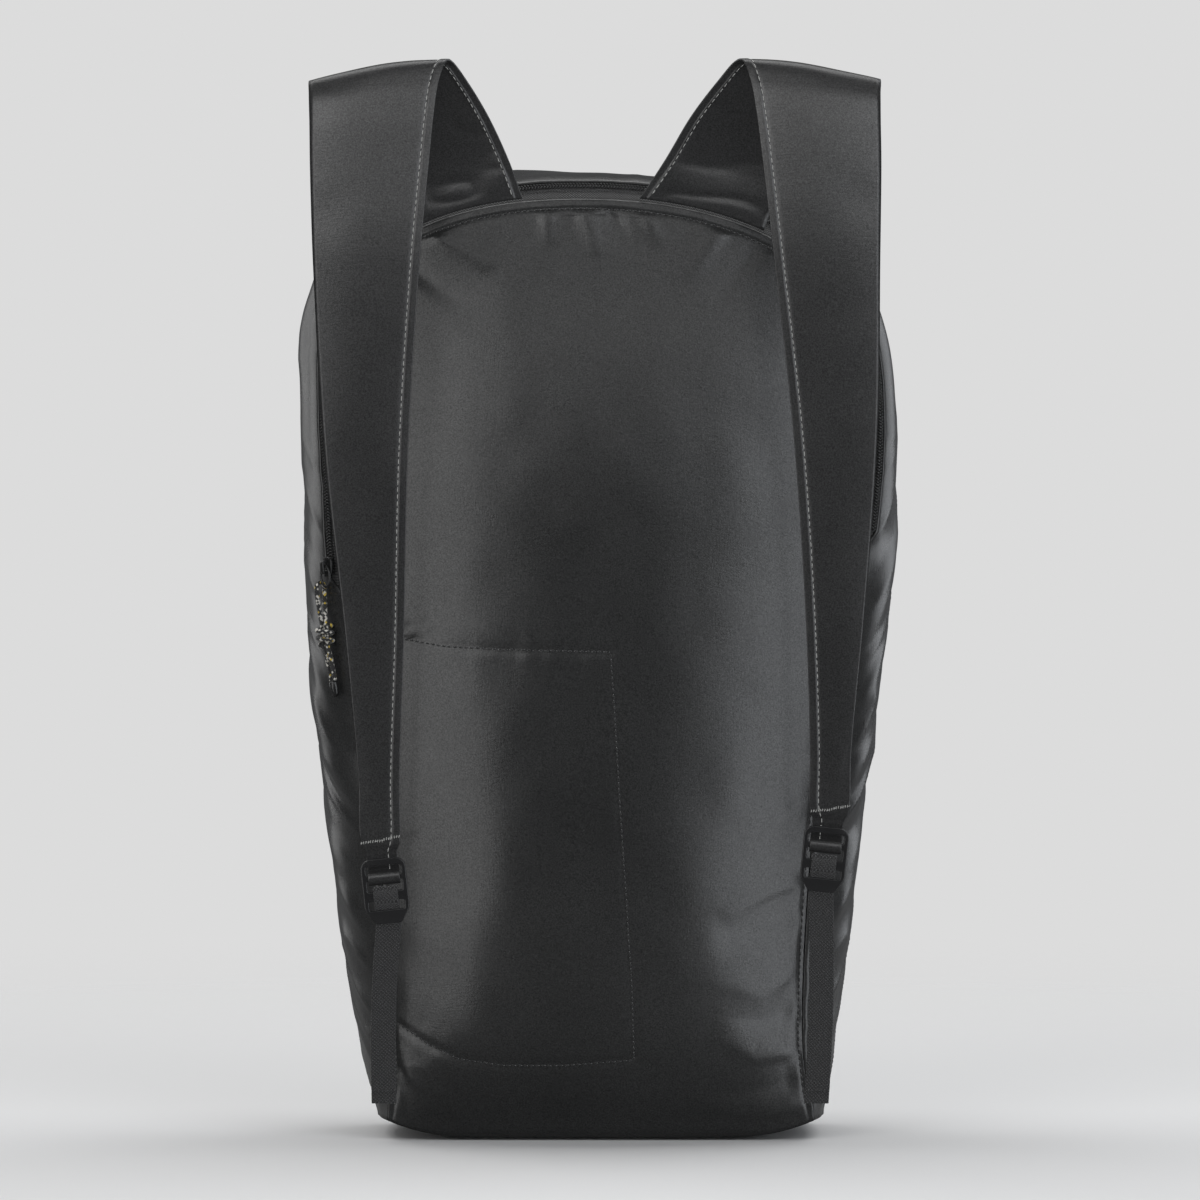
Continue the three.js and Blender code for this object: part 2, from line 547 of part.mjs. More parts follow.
// A ladder lock: a round-cornered frame with two inner bars and a tapered lip, in its own X, Z plane.
function ladderLock() {
  const half = lockWidth / 2;
  const top = lockHeight / 2;
  const inner = half - lockRail;
  const outline = new THREE.Shape();
  outline.moveTo(-lipTip, -top - lipHeight);
  outline.lineTo(lipTip, -top - lipHeight);
  outline.lineTo(half - 1, -top - 0.4);
  outline.quadraticCurveTo(half, -top + 0.8, half, -top + 3);
  outline.lineTo(half, top - lockCorner);
  outline.absarc(half - lockCorner, top - lockCorner, lockCorner, 0, Math.PI / 2, false);
  outline.lineTo(-half + lockCorner, top);
  outline.absarc(-half + lockCorner, top - lockCorner, lockCorner, Math.PI / 2, Math.PI, false);
  outline.lineTo(-half, -top + 3);
  outline.quadraticCurveTo(-half, -top + 0.8, -half + 1, -top - 0.4);
  const windows = [
    [strapBarRise + strapBarHeight / 2, top - topBarHeight, 0.8],
    [-webbingBarDrop + webbingBarHeight / 2, strapBarRise - strapBarHeight / 2, 0.8],
    [-top + 0.6, -webbingBarDrop - webbingBarHeight / 2, 0.8],
  ];
  for (const [low, high, radius] of windows) {
    outline.holes.push(roundedRectangle(new THREE.Path(), -inner, inner, low, high, radius));
  }
  const geometry = new THREE.ExtrudeGeometry(outline, { depth: lockThickness, bevelEnabled: false, curveSegments: 3 });
  return geometry.translate(0, 0, -lockThickness / 2).rotateX(Math.PI / 2);
}

// A geometry's solid, and a solid's geometry, for the slider's joined bridge.
function solidOf(geometry) {
  const plain = geometry.clone();
  plain.deleteAttribute("normal");
  plain.deleteAttribute("uv");
  const merged = mergeVertices(plain, 1e-4);
  return new wasm.Manifold(
    new wasm.Mesh({
      numProp: 3,
      vertProperties: merged.getAttribute("position").array,
      triVerts: new Uint32Array(merged.index.array),
    }),
  );
}

function geometryOf(solid) {
  const mesh = solid.getMesh();
  const geometry = new THREE.BufferGeometry();
  geometry.setAttribute("position", new THREE.BufferAttribute(new Float32Array(mesh.vertProperties), 3));
  geometry.setIndex(new THREE.BufferAttribute(mesh.triVerts, 1));
  geometry.computeVertexNormals();
  return geometry;
}

// The slider, in its own frame: X across the zip, Y along it towards its end, Z outwards.
function slider() {
  const outline = new THREE.Shape();
  outline.moveTo(-sliderWidth / 2, -sliderLength / 2 + 1.5);
  outline.quadraticCurveTo(0, -sliderLength / 2 - 1.5, sliderWidth / 2, -sliderLength / 2 + 1.5);
  outline.lineTo(sliderWidth * 0.36, sliderLength / 2);
  outline.lineTo(-sliderWidth * 0.36, sliderLength / 2);
  const plate = new THREE.ExtrudeGeometry(outline, { depth: sliderPlate, bevelEnabled: false, curveSegments: 5 });
  const arch = new THREE.Shape();
  const half = sliderLength * 0.36;
  arch.moveTo(-half, 0);
  arch.lineTo(half, 0);
  arch.quadraticCurveTo(half, bridgeHeight, half * 0.5, bridgeHeight);
  arch.lineTo(-half * 0.5, bridgeHeight);
  arch.quadraticCurveTo(-half, bridgeHeight, -half, 0);
  const eye = new THREE.Path();
  const low = 0.5;
  const high = bridgeHeight - bridgeWire;
  roundedRectangle(eye, -half + bridgeWire + 0.5, half - bridgeWire - 0.5, low, high, 0.4);
  arch.holes.push(eye);
  const bridge = new THREE.ExtrudeGeometry(arch, { depth: bridgeWidth, bevelEnabled: false, curveSegments: 5 });
  bridge.translate(0, 0, -bridgeWidth / 2);
  bridge.rotateX(Math.PI / 2);
  bridge.rotateZ(Math.PI / 2);
  bridge.translate(0, 0, sliderPlate - 0.3);
  return geometryOf(solidOf(plate).add(solidOf(bridge)));
}

// A group that stands on the gusset at t and s: its X across, its Y down the zip, its Z outwards.
function onGusset(t, s, raise) {
  const here = gussetPoint(t, s);
  const along = gussetPoint(t - nudge, s).sub(gussetPoint(t + nudge, s)).normalize();
  const across = gussetPoint(t, s - nudge).sub(gussetPoint(t, s + nudge));
  const outward = along.clone().cross(across).normalize();
  across.crossVectors(along, outward);
  const group = new THREE.Group();
  group.quaternion.setFromRotationMatrix(new THREE.Matrix4().makeBasis(across, along, outward));
  group.position.copy(here).addScaledVector(outward, raise);
  return group;
}

// The slider stands on the chain's end, and its ring hangs from the bridge.
function sliderAndRing() {
  const t = zipLeft + 0.006;
  const s = (chainStart + chainWidth / 2) / gussetWidth(t);
  const group = onGusset(t, s, chainRaise + chainThickness / 2 + 2 * layGap);
  group.add(piece("zip_slider", slider(), sliderPaint));
  const ring = new THREE.TorusGeometry(ringHalfWidth, ringWire, 6, 16);
  ring.scale(1, ringHalfLength / ringHalfWidth, 1);
  const mesh = piece("pull_ring", ring, sliderPaint);
  const droop = 0.03;
  const eyeMiddle = sliderPlate + (bridgeHeight - bridgeWire) / 2;
  mesh.position.set(0, ringHalfLength - 0.3, eyeMiddle - ringHalfLength * Math.sin(droop));
  mesh.rotation.x = -droop;
  group.add(mesh);
  return group;
}

// The pull cord as a tube, its knot as a sleeve round both strands, and the sealed tip below them.
function pullCord() {
  const route = new THREE.CatmullRomCurve3(cordRoute.map((p) => new THREE.Vector3(...p)), false, "centripetal");
  const circle = new THREE.Shape();
  circle.absarc(0, 0, cordDiameter / 2, 0, 2 * Math.PI, false);
  return new THREE.ExtrudeGeometry(circle, { extrudePath: route, steps: 40, curveSegments: 4 });
}

// A lathe piece that stands along the line from one point of the cord's fall to another.
function onCord(name, profile, from, to) {
  const geometry = new THREE.LatheGeometry(profile.map(([r, z]) => new THREE.Vector2(r, z)), 10);
  const mesh = piece(name, geometry, cordWeave);
  const up = to.clone().sub(from).normalize();
  mesh.position.copy(from).lerp(to, 0.5);
  mesh.quaternion.setFromUnitVectors(new THREE.Vector3(0, 1, 0), up);
  return mesh;
}

function cordFittings() {
  const strandMiddle = (i) =>
    new THREE.Vector3(...cordRoute[i]).lerp(new THREE.Vector3(...cordRoute[cordRoute.length - 1 - i]), 0.5);
  const half = knotHeight / 2;
  const knotProfile = [
    [knotHole, -half],
    [knotRadius * 0.86, -half],
    [knotRadius, 0],
    [knotRadius * 0.86, half],
    [knotHole, half],
    [knotHole, -half],
  ];
  const tipTop = strandMiddle(0);
  const down = tipTop.clone().sub(strandMiddle(1)).normalize();
  const tipProfile = [
    [0, -tipLength],
    [tipRadius * 0.7, -tipLength],
    [tipRadius, -tipLength * 0.8],
    [tipRadius, 0],
    [0, 0],
  ];
  const tipStart = tipTop.clone().addScaledVector(down, layGap);
  return [
    onCord("cord_knot", knotProfile, strandMiddle(4), strandMiddle(6)),
    onCord("cord_tip", tipProfile, tipStart, tipStart.clone().addScaledVector(down, -1e-6)),
  ];
}

const pack = new THREE.Group();
pack.add(piece("back_panel", panel(-1), nylon));
pack.add(piece("front_panel", panel(1), nylon));
pack.add(piece("gusset", gusset(), nylon));
pack.add(piece("base_panel", base(), nylon));
pack.add(piece("stow_pocket", stowPocket(), nylon));
pack.add(piece("zip_tape", zipStrip(seamInset, seamInset + tapeWidth, 2, tapeThickness, -tapeDrop), tapeWeave));
pack.add(piece("zip_chain", zipStrip(chainStart, chainStart + chainWidth, 1, chainThickness, chainRaise), coilPlastic));
for (const strap of straps) {
  pack.add(piece(strap.name + "_shoulder_strap", shoulderStrap(strap), strapNylon));
  pack.add(piece(strap.name + "_webbing", adjusterWebbing(strap), webbingWeave));
  const frame = lockFrame(strap);
  const lock = piece(strap.name + "_ladder_lock", ladderLock(), lockPlastic);
  lock.position.copy(frame.middle);
  lock.rotation.y = frame.tilt;
  pack.add(lock);
}
pack.add(sliderAndRing());

// The pull cord hangs within the box round the rest, which stands on z = 0 round the origin.
pack.updateMatrixWorld(true);
const box = new THREE.Box3().setFromObject(pack, true);
pack.position.set(-(box.min.x + box.max.x) / 2, -(box.min.y + box.max.y) / 2, -box.min.z);
pack.add(piece("pull_cord", pullCord(), cordWeave), ...cordFittings());

export default pack;
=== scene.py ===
import math

import bmesh
import bpy
import numpy as np
from mathutils import Matrix, Quaternion, Vector


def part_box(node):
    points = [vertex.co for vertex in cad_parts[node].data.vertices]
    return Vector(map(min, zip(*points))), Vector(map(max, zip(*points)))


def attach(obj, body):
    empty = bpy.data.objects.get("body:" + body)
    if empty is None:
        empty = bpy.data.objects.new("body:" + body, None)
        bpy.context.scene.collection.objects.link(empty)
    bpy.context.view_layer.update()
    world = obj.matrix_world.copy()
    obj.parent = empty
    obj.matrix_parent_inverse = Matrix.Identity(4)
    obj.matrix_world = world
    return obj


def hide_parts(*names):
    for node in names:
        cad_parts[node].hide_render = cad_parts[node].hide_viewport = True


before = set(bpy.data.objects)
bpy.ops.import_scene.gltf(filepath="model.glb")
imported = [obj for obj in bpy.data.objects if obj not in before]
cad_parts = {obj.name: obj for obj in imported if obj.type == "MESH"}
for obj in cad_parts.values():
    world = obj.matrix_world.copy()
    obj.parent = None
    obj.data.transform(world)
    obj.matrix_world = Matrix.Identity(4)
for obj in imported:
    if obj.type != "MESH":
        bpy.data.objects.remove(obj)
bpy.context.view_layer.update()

MM = 0.001


# The bag's own frame has its two ladder locks mirrored about x = 0 and its base centred on y = 0.
def middle_of(node):
    low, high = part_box(node)
    return (low + high) / 2


LOCK_MIDDLES = [middle_of("left_ladder_lock"), middle_of("right_ladder_lock")]
SHIFT = np.array([(LOCK_MIDDLES[0].x + LOCK_MIDDLES[1].x) / 2, middle_of("base_panel").y, 0.0])

# The photograph's view: nearly level, from far off, with 540 mm of the bag's middle plane across the picture
CAMERA_DISTANCE = 4.0
CAMERA_ELEVATION = math.radians(2.5)
PICTURE_WIDTH = 0.54
PICTURE_MIDDLE = 0.2399

# Driving sizes of the bag, in millimetres
BACK_CREST = 420
FRONT_CREST = 411
SHOULDER_HEIGHT = 320
CORNER_HEIGHT = 9
BOTTOM_SEAM_HEIGHT = 2
SEAM_HALF_WIDTH = 119
SIDE_BULGE = 22
GUSSET_HALF_DEPTH = 45
BACK_BULGE = 28
FRONT_BULGE = 33
CLOTH = 1.2
SEWN_GAP = 0.5

TAPE_WIDTH = 17
TAPE_THICKNESS = 0.8
TAPE_SHOWN = 3
CHAIN_WIDTH = 4
CHAIN_THICKNESS = 1.7
LAY_GAP = 0.3
ZIP_END_LEFT = 255
ZIP_END_RIGHT = 274

STRAP_CREST = 478
STRAP_HALF_WIDTH = 31
STRAP_REACH = 42
STRAP_END_HALF_WIDTH = 7
TACK_STEP = 1
STRAP_ROOT_INNER = 0.22
STRAP_ROOT_OUTER = 0.67
ARCH_SHIFT = 9

LOCK_WIDTH = 20
LOCK_HEIGHT = 23.6
LOCK_THICKNESS = 2.6
LOCK_CORNER = 4.5
LOCK_RAIL = 2.1
TOP_BAR_HEIGHT = 3
STRAP_BAR_HEIGHT = 2.2
WEBBING_BAR_HEIGHT = 4.2
LIP_HEIGHT = 5.5
LIP_TIP = 5.4
STRAP_BAR_RISE = 3.2
WEBBING_BAR_DROP = 4.9
LOCK_BELOW_TACK = 19.6
LOCK_TILT = math.radians(6)

WEBBING_HALF_WIDTH = 5.5
WEBBING = 1.2
WEBBING_ROOT_HEIGHT = 17
WEBBING_ROOT_OUT = 3
WEBBING_TAIL_HEIGHT = 23
WEBBING_BOW = 1.2

POCKET_LEFT = 0.9
POCKET_RIGHT_HIGH = 2.5
POCKET_RIGHT_LOW = 12.5
POCKET_TOP = 221
POCKET_BOTTOM = 36
POCKET_CLOTH = 1
POCKET_GAP = 0.9

SLIDER_LENGTH = 9
SLIDER_WIDTH = 6.4
SLIDER_PLATE = 1.2
BRIDGE_HEIGHT = 3.4
BRIDGE_WIRE = 0.9
BRIDGE_WIDTH = 2.2
RING_WIRE = 0.55
RING_HALF_WIDTH = 3.1
RING_HALF_LENGTH = 4.6
CORD_RADIUS = 1.0

# Sections from the floor up, as shares of the sizes that they follow
SECTION_COLUMNS = ("at", "half", "lean", "swell", "depth", "back", "front")
SECTIONS = np.array([
    (0.022, 0.798, -0.015, 0.2, 0.88, 0.55, 0.5),
    (0.058, 0.776, -0.02, 0.5, 0.92, 0.68, 0.66),
    (0.122, 0.768, -0.03, 0.74, 0.96, 0.85, 0.85),
    (0.261, 0.792, -0.036, 0.98, 1, 1, 1),
    (0.376, 0.832, -0.038, 1.02, 1, 1, 1),
    (0.511, 0.89, -0.03, 1.01, 0.99, 1, 0.98),
    (0.626, 0.95, -0.018, 0.86, 0.97, 0.96, 0.93),
    (0.719, 0.985, -0.01, 0.73, 0.94, 0.88, 0.84),
    (0.827, 1, -0.02, 0.7, 0.88, 0.7, 0.66),
    (0.911, 1, -0.045, 0.8, 0.82, 0.5, 0.46),
    (1, 1, -0.09, 0.7, 0.76, 0.3, 0.28),
])

# The main folds: the face, across and up from one place to another, reach and rise, as shares
MAIN_FOLDS = [
    ("left", (0.5, 0.04), (0.5, 0.39), 0.34, 0.15),
    ("left", (0.52, 0.06), (0.44, 0.33), 0.34, -0.13),
    ("left", (0.95, 0.5), (0.36, 0.3), 0.4, -0.12),
    ("left", (0.9, 0.55), (0.7, 0.62), 0.4, 0.12),
    ("right", (0.5, 0.04), (0.71, 0.6), 0.36, -0.14),
    ("right", (0.52, 0.05), (0.64, 0.54), 0.34, 0.13),
    ("right", (0.06, 0.45), (0.3, 0.36), 0.38, -0.13),
    ("right", (0.95, 0.5), (0.48, 0.42), 0.4, 0.12),
    ("back", (0.74, 0.52), (0.27, 0.22), 0.36, -0.04),
    ("back", (0.74, 0.5), (0.16, 0.14), 0.36, 0.03),
    ("back", (-0.76, -0.54), (0.09, 0.05), 0.38, -0.04),
    ("front", (-0.7, -0.4), (0.12, 0.26), 0.5, -0.16),
    ("front", (0.72, 0.42), (0.14, 0.3), 0.5, -0.16),
    ("front", (-0.55, 0.1), (0.86, 0.8), 0.5, -0.14),
]

# Finer folds of the back panel in millimetres: the points of its crest line, its width and its rise
BACK_FOLDS = [
    ([(94, 119), (75, 113), (56, 104)], 5.5, 1.7),
    ([(92, 98), (72, 92), (53, 97)], 6, -1.5),
    ([(92, 88), (83, 75), (69, 67), (50, 72)], 6.5, 1.9),
    ([(92, 60), (72, 54), (56, 57)], 6, -1.6),
    ([(92, 51), (82, 40), (67, 38), (54, 46)], 5.5, 1.9),
    ([(92, 30), (72, 23), (50, 22)], 5.5, -1.5),
    ([(93, 20), (79, 13), (63, 12), (44, 17)], 4.5, 1.5),
    ([(96, 150), (78, 143), (62, 145)], 6, 0.8),
    ([(98, 172), (82, 167)], 6, -0.7),
    ([(101, 210), (84, 203), (70, 206)], 7, 0.7),
    ([(103, 232), (86, 224)], 6, -0.6),
    ([(-94, 41), (-83, 24)], 3.4, 1.7),
    ([(-97, 36), (-88, 15)], 3, -1.3),
    ([(-80, 33), (-66, 12)], 6, 0.9),
    ([(-64, 40), (-48, 12)], 7, -0.6),
    ([(-9, 413), (-4, 396)], 3.5, 0.9),
    ([(3, 413), (10, 399)], 3.5, -0.8),
    ([(-26, 413), (-25, 401)], 3.5, 0.8),
    ([(18, 412), (24, 400)], 3, 0.6),
    ([(50, 403), (39, 386)], 5, 0.6),
    ([(66, 396), (52, 378)], 6.5, -0.45),
    ([(-75, 402), (-55, 390)], 4.5, 0.9),
    ([(-88, 391), (-66, 374)], 5, -0.8),
    ([(-92, 226), (-76, 232), (-60, 227)], 3.2, 1.1),
    ([(-92, 233), (-74, 240)], 4, -0.8),
]

# A strap's stations from above its root to its bar tack, as shares
STRAP_RUN = [
    # across, height, reach, half, rise, shift
    (0.51, 0.9, 0.08, 0.85, 0.2, 0.85),
    (0.612, 0.94, 0.2, 0.91, 0.22, 0.72),
    (0.714, 0.973, 0.37, 0.965, 0.21, 0.6),
    (0.779, 0.993, 0.5, 0.99, 0.18, 0.55),
    (0.805, 0.997, 0.64, 0.98, 0.15, 0.5),
    (0.819, 0.981, 0.755, 0.925, 0.11, 0.5),
    (0.828, 0.954, 0.83, 0.885, 0.07, 0.48),
    (0.838, 0.91, 0.895, 0.845, 0.04, 0.45),
    (0.853, 0.817, 0.985, 0.755, 0.02, 0.4),
    (0.87, 0.65, 0.97, 0.6, 0, 0.2),
    (0.855, 0.47, 0.83, 0.415, 0, 0),
    (0.841, 0.34, 0.7, 0.295, 0, 0),
    (0.837, 0.284, 0.66, 0.28, 0, 0),
]
STRAPS = [("left", -1, 0), ("right", 1, 14)]  # name, side, how much higher it ends

# The pull cord's middle line in millimetres, from one cut end up through the knot and the ring and back down
CORD_ROUTE = [
    (-121.8, -38.8, 205.6), (-122.4, -38.7, 209), (-123.2, -38.6, 213), (-124.1, -38.4, 217.5),
    (-125.1, -38.3, 221.5), (-125.7, -38.2, 226), (-126, -38.05, 230.5), (-127, -38.3, 236),
    (-128, -38.4, 242), (-128.4, -38.1, 247), (-128.1, -37.8, 248.6), (-126.9, -36.9, 249.3),
    (-125.7, -36.1, 248.7), (-125.1, -35.7, 247.2), (-124.9, -36.2, 242), (-124.6, -37.8, 236),
    (-124.2, -39.6, 230.5), (-124, -39.85, 226), (-123.5, -40, 221.5), (-122.5, -40.1, 217.5),
    (-121.6, -40.2, 213), (-120.8, -40.3, 209), (-120.2, -40.4, 205.6),
]


# Small tools for shapes

def lerp(low, high, share):
    return low + (high - low) * share


def smoothstep(low, high, value):
    share = np.clip((value - low) / (high - low), 0, 1)
    return share * share * (3 - 2 * share)


def bell(value, middle, width):
    return np.exp(-(((value - middle) / width) ** 2))


def unit(vectors):
    return vectors / np.maximum(np.linalg.norm(vectors, axis=-1, keepdims=True), 1e-9)


def metres(places):
    return (np.asarray(places, float) * MM) + SHIFT


LATTICE = np.random.RandomState(11).rand(64, 64) * 2 - 1


def noise(x, y, layer=0):
    """Smooth noise from -1 to 1, with features about one unit wide."""
    x = np.asarray(x, float) + 17.31 * layer
    y = np.asarray(y, float) + 9.17 * layer
    column, row = np.floor(x).astype(int), np.floor(y).astype(int)
    fx, fy = x - column, y - row
    fx, fy = fx * fx * (3 - 2 * fx), fy * fy * (3 - 2 * fy)
    pick = lambda i, j: LATTICE[(row + j) % 64, (column + i) % 64]
    low = lerp(pick(0, 0), pick(1, 0), fx)
    high = lerp(pick(0, 1), pick(1, 1), fx)
    return lerp(low, high, fy)


def creases(x, y, layer=0):
    """Sharp-crested folds from 0 to 1, as thin coated cloth makes them."""
    return (1 - np.abs(noise(x, y, layer))) ** 3


def smooth_curve(stations, shares):
    """A centripetal Catmull-Rom curve through the stations, read at shares of its run."""
    points = np.asarray(stations, float)
    points = np.vstack([2 * points[0] - points[1], points, 2 * points[-1] - points[-2]])
    place = np.asarray(shares, float) * (len(points) - 3)
    first = np.clip(np.floor(place).astype(int), 0, len(points) - 4)
    weight = (place - first)[:, None]
    a, b, c, d = (points[first + i] for i in range(4))
    pairs = ((a, b), (b, c), (c, d))
    gaps = [np.maximum(np.sum((q - p) ** 2, axis=1) ** 0.25, 1e-4)[:, None] for p, q in pairs]
    start = ((b - a) / gaps[0] - (c - a) / (gaps[0] + gaps[1]) + (c - b) / gaps[1]) * gaps[1]
    end = ((c - b) / gaps[1] - (d - b) / (gaps[1] + gaps[2]) + (d - c) / gaps[2]) * gaps[1]
    third = -3 * b + 3 * c - 2 * start - end
    fourth = 2 * b - 2 * c + start + end
    return b + weight * (start + weight * (third + weight * fourth))


def evenly(points, pitch):
    """A polyline's points read again at an even pitch, with the share of the run at each."""
    steps = np.linalg.norm(np.diff(points, axis=0), axis=1)
    run = np.concatenate([[0], np.cumsum(steps)])
    wanted = np.arange(pitch / 2, run[-1], pitch)
    return np.stack([np.interp(wanted, run, points[:, k]) for k in range(points.shape[1])], axis=1)


# The bag's surfaces

def section(key, z):
    rows, column = SECTIONS, SECTION_COLUMNS.index(key)
    at, values = rows[:, 0], rows[:, column]
    x = np.clip(np.asarray(z, float) / BACK_CREST, at[0], at[-1])
    i = np.clip(np.searchsorted(at, x, side="right") - 1, 0, len(at) - 2)
    low, high = np.maximum(np.arange(len(at)) - 1, 0), np.minimum(np.arange(len(at)) + 1, len(at) - 1)
    slopes = (values[high] - values[low]) / (at[high] - at[low])
    width = at[i + 1] - at[i]
    t = (x - at[i]) / width
    bend = t * t * (3 - 2 * t)
    swing = slopes[i] * t * (1 - t) ** 2 - slopes[i + 1] * t * t * (1 - t)
    return values[i] * (1 - bend) + values[i + 1] * bend + width * swing


def half_width_at(z):
    return SEAM_HALF_WIDTH * section("half", z)


def lean_at(z):
    return SEAM_HALF_WIDTH * section("lean", z)


def depth_at(z):
    return GUSSET_HALF_DEPTH * section("depth", z)


ARCH_WIDTH_POWER = 2 / 2.1
ARCH_HEIGHT_POWER = 2 / 3.3
ARCH_SHARE = 0.36


def arch_across(angle):
    return np.sign(angle) * np.abs(np.sin(angle)) ** ARCH_WIDTH_POWER


def arch_rise(angle):
    return np.maximum(np.cos(angle), 0) ** ARCH_HEIGHT_POWER


def crest_of(facing):
    return BACK_CREST if facing < 0 else FRONT_CREST


def shoulder_of(facing):
    return SHOULDER_HEIGHT - (BACK_CREST - crest_of(facing))


def seam_point(facing, t):
    t = np.asarray(t, float)
    shoulder = shoulder_of(facing)
    side = np.clip((np.abs(t) - ARCH_SHARE) / (1 - ARCH_SHARE), 0, 1)
    angle = np.clip(t / ARCH_SHARE, -1, 1) * math.pi / 2
    on_side = np.abs(t) > ARCH_SHARE
    z_side = lerp(shoulder, CORNER_HEIGHT, side)
    z_arch = shoulder + (crest_of(facing) - shoulder) * arch_rise(angle)
    x_arch = half_width_at(shoulder) * arch_across(angle)
    z = np.where(on_side, z_side, z_arch)
    x = np.where(on_side, np.sign(t) * half_width_at(z_side), x_arch)
    return np.stack([x + lean_at(z), facing * depth_at(z), z], axis=-1)


def seam_at_height(z):
    return ARCH_SHARE + (1 - ARCH_SHARE) * (SHOULDER_HEIGHT - z) / (SHOULDER_HEIGHT - CORNER_HEIGHT)


def gusset_crown(s):
    return np.maximum(1 - np.abs(2 * s - 1) ** 2.4, 0) ** 0.8


def panel_crown(a, v):
    side = 1 - np.minimum(np.abs(a), 1) ** 2.4
    return side * np.maximum(1 - v ** 7, 0) ** 0.8 * np.maximum(1 - (1 - v) ** 14, 0) ** 0.7


def main_fold_rise(face, across_size, across, up):
    rise = np.zeros(np.shape(across))
    for on, share_across, share_up, reach, height in MAIN_FOLDS:
        if on != face:
            continue
        start = np.array([share_across[0] * across_size, share_up[0] * BACK_CREST])
        run = np.array([share_across[1] * across_size, share_up[1] * BACK_CREST]) - start
        x, y = across - start[0], up - start[1]
        share = np.clip((x * run[0] + y * run[1]) / (run @ run), 0, 1)
        away = np.hypot(x - share * run[0], y - share * run[1]) / (reach * SIDE_BULGE)
        rise = rise + height * SIDE_BULGE * np.exp(-away * away)
    return rise


def fold_lines(folds, across, up):
    """Crested folds along listed lines, steeper below the crest than above it."""
    rise = np.zeros(np.shape(across))
    for line, width, height in folds:
        best = np.full(np.shape(across), 1e9)
        shade = np.zeros(np.shape(across))
        pieces = len(line) - 1
        for k, ((x0, z0), (x1, z1)) in enumerate(zip(line, line[1:])):
            dx, dz = x1 - x0, z1 - z0
            share = np.clip(((across - x0) * dx + (up - z0) * dz) / (dx * dx + dz * dz), 0, 1)
            off_x, off_z = across - x0 - share * dx, up - z0 - share * dz
            away = np.hypot(off_x, off_z)
            below = np.where(off_z < 0, 0.62, 1.15)
            profile = np.exp(-((away / (width * below)) ** 1.6))
            fade = 1 - 0.75 * (k + share) / pieces
            nearer = away < best
            best = np.where(nearer, away, best)
            shade = np.where(nearer, profile * fade, shade)
        rise = rise + height * shade
    return rise


GUSSET_FOLD_SHARE = 0.45  # of the main folds' rise, which keeps the outline nearly smooth


def gusset_point(t, s):
    t, s = np.broadcast_arrays(np.asarray(t, float), np.asarray(s, float))
    middle = lambda u: (seam_point(-1, u) + seam_point(1, u)) / 2
    along = middle(np.minimum(t + 1e-3, 1)) - middle(np.maximum(t - 1e-3, -1))
    outward = unit(np.stack([-along[..., 2], np.zeros(t.shape), along[..., 0]], axis=-1))
    point = lerp(seam_point(-1, t), seam_point(1, t), s[..., None])
    crown = gusset_crown(s)
    z = point[..., 2]
    depth = 2 * GUSSET_HALF_DEPTH
    rise = np.where(
        t < 0,
        main_fold_rise("left", depth, s * depth, z),
        main_fold_rise("right", depth, s * depth, z),
    )
    out = SIDE_BULGE * section("swell", z) * crown + GUSSET_FOLD_SHARE * rise * np.minimum(1, 2 * crown)
    return point + outward * out[..., None]


def lift(share, flat):
    return np.maximum(0, (np.abs(share) - flat) / (1 - flat)) ** 2


def panel_point(facing, a, v):
    a, v = np.broadcast_arrays(np.asarray(a, float), np.asarray(v, float))
    angle = np.sign(a) * np.arcsin(np.minimum(np.abs(a), 1) ** (1 / ARCH_WIDTH_POWER))
    shoulder = shoulder_of(facing)
    top = shoulder + (crest_of(facing) - shoulder) * arch_rise(angle)
    bottom = lerp(BOTTOM_SEAM_HEIGHT, CORNER_HEIGHT, lift(a, 0.66))
    z = lerp(bottom, top, v)
    crown = panel_crown(a, v)
    bulge = BACK_BULGE * section("back", z) if facing < 0 else FRONT_BULGE * section("front", z)
    across = a * half_width_at(np.minimum(z, shoulder))
    face = "back" if facing < 0 else "front"
    rise = main_fold_rise(face, SEAM_HALF_WIDTH, across, z) * np.minimum(1, 2 * crown)
    return np.stack([across + lean_at(z), facing * (depth_at(z) + bulge * crown + rise), z], axis=-1)


# Materials

def material(name, color, roughness, **sockets):
    """A new material with its node tree and its shader."""
    made = bpy.data.materials.new(name)
    made.use_nodes = True
    shader = made.node_tree.nodes["Principled BSDF"]
    shader.inputs["Base Color"].default_value = (*color, 1)
    shader.inputs["Roughness"].default_value = roughness
    for key, value in sockets.items():
        shader.inputs[key.replace("_", " ")].default_value = value
    return made, made.node_tree, shader


def add(tree, kind, **values):
    """A node with its properties and its inputs' constants set by name."""
    node = tree.nodes.new(kind)
    for key, value in values.items():
        if key in node.inputs:
            node.inputs[key].default_value = value
        else:
            setattr(node, key, value)
    return node


def socket(tree, source, target, name):
    tree.links.new(source, target.inputs[name])


def mapped(tree, output, scale, turn=0.0):
    """Texture coordinates from the UV map or the object, scaled and turned."""
    place = add(tree, "ShaderNodeTexCoord")
    mapping = add(tree, "ShaderNodeMapping", Scale=scale, Rotation=(0, 0, turn))
    socket(tree, place.outputs[output], mapping, "Vector")
    return mapping.outputs["Vector"]


def clouds(tree, scale, detail, output="Object", drawn=(1, 1, 1), **sockets):
    """A noise texture's value over the object or the UV map."""
    node = add(tree, "ShaderNodeTexNoise", Scale=scale, Detail=detail, **sockets)
    socket(tree, mapped(tree, output, drawn), node, "Vector")
    return node.outputs["Fac"]


def times(color, share):
    return [c * share for c in color]


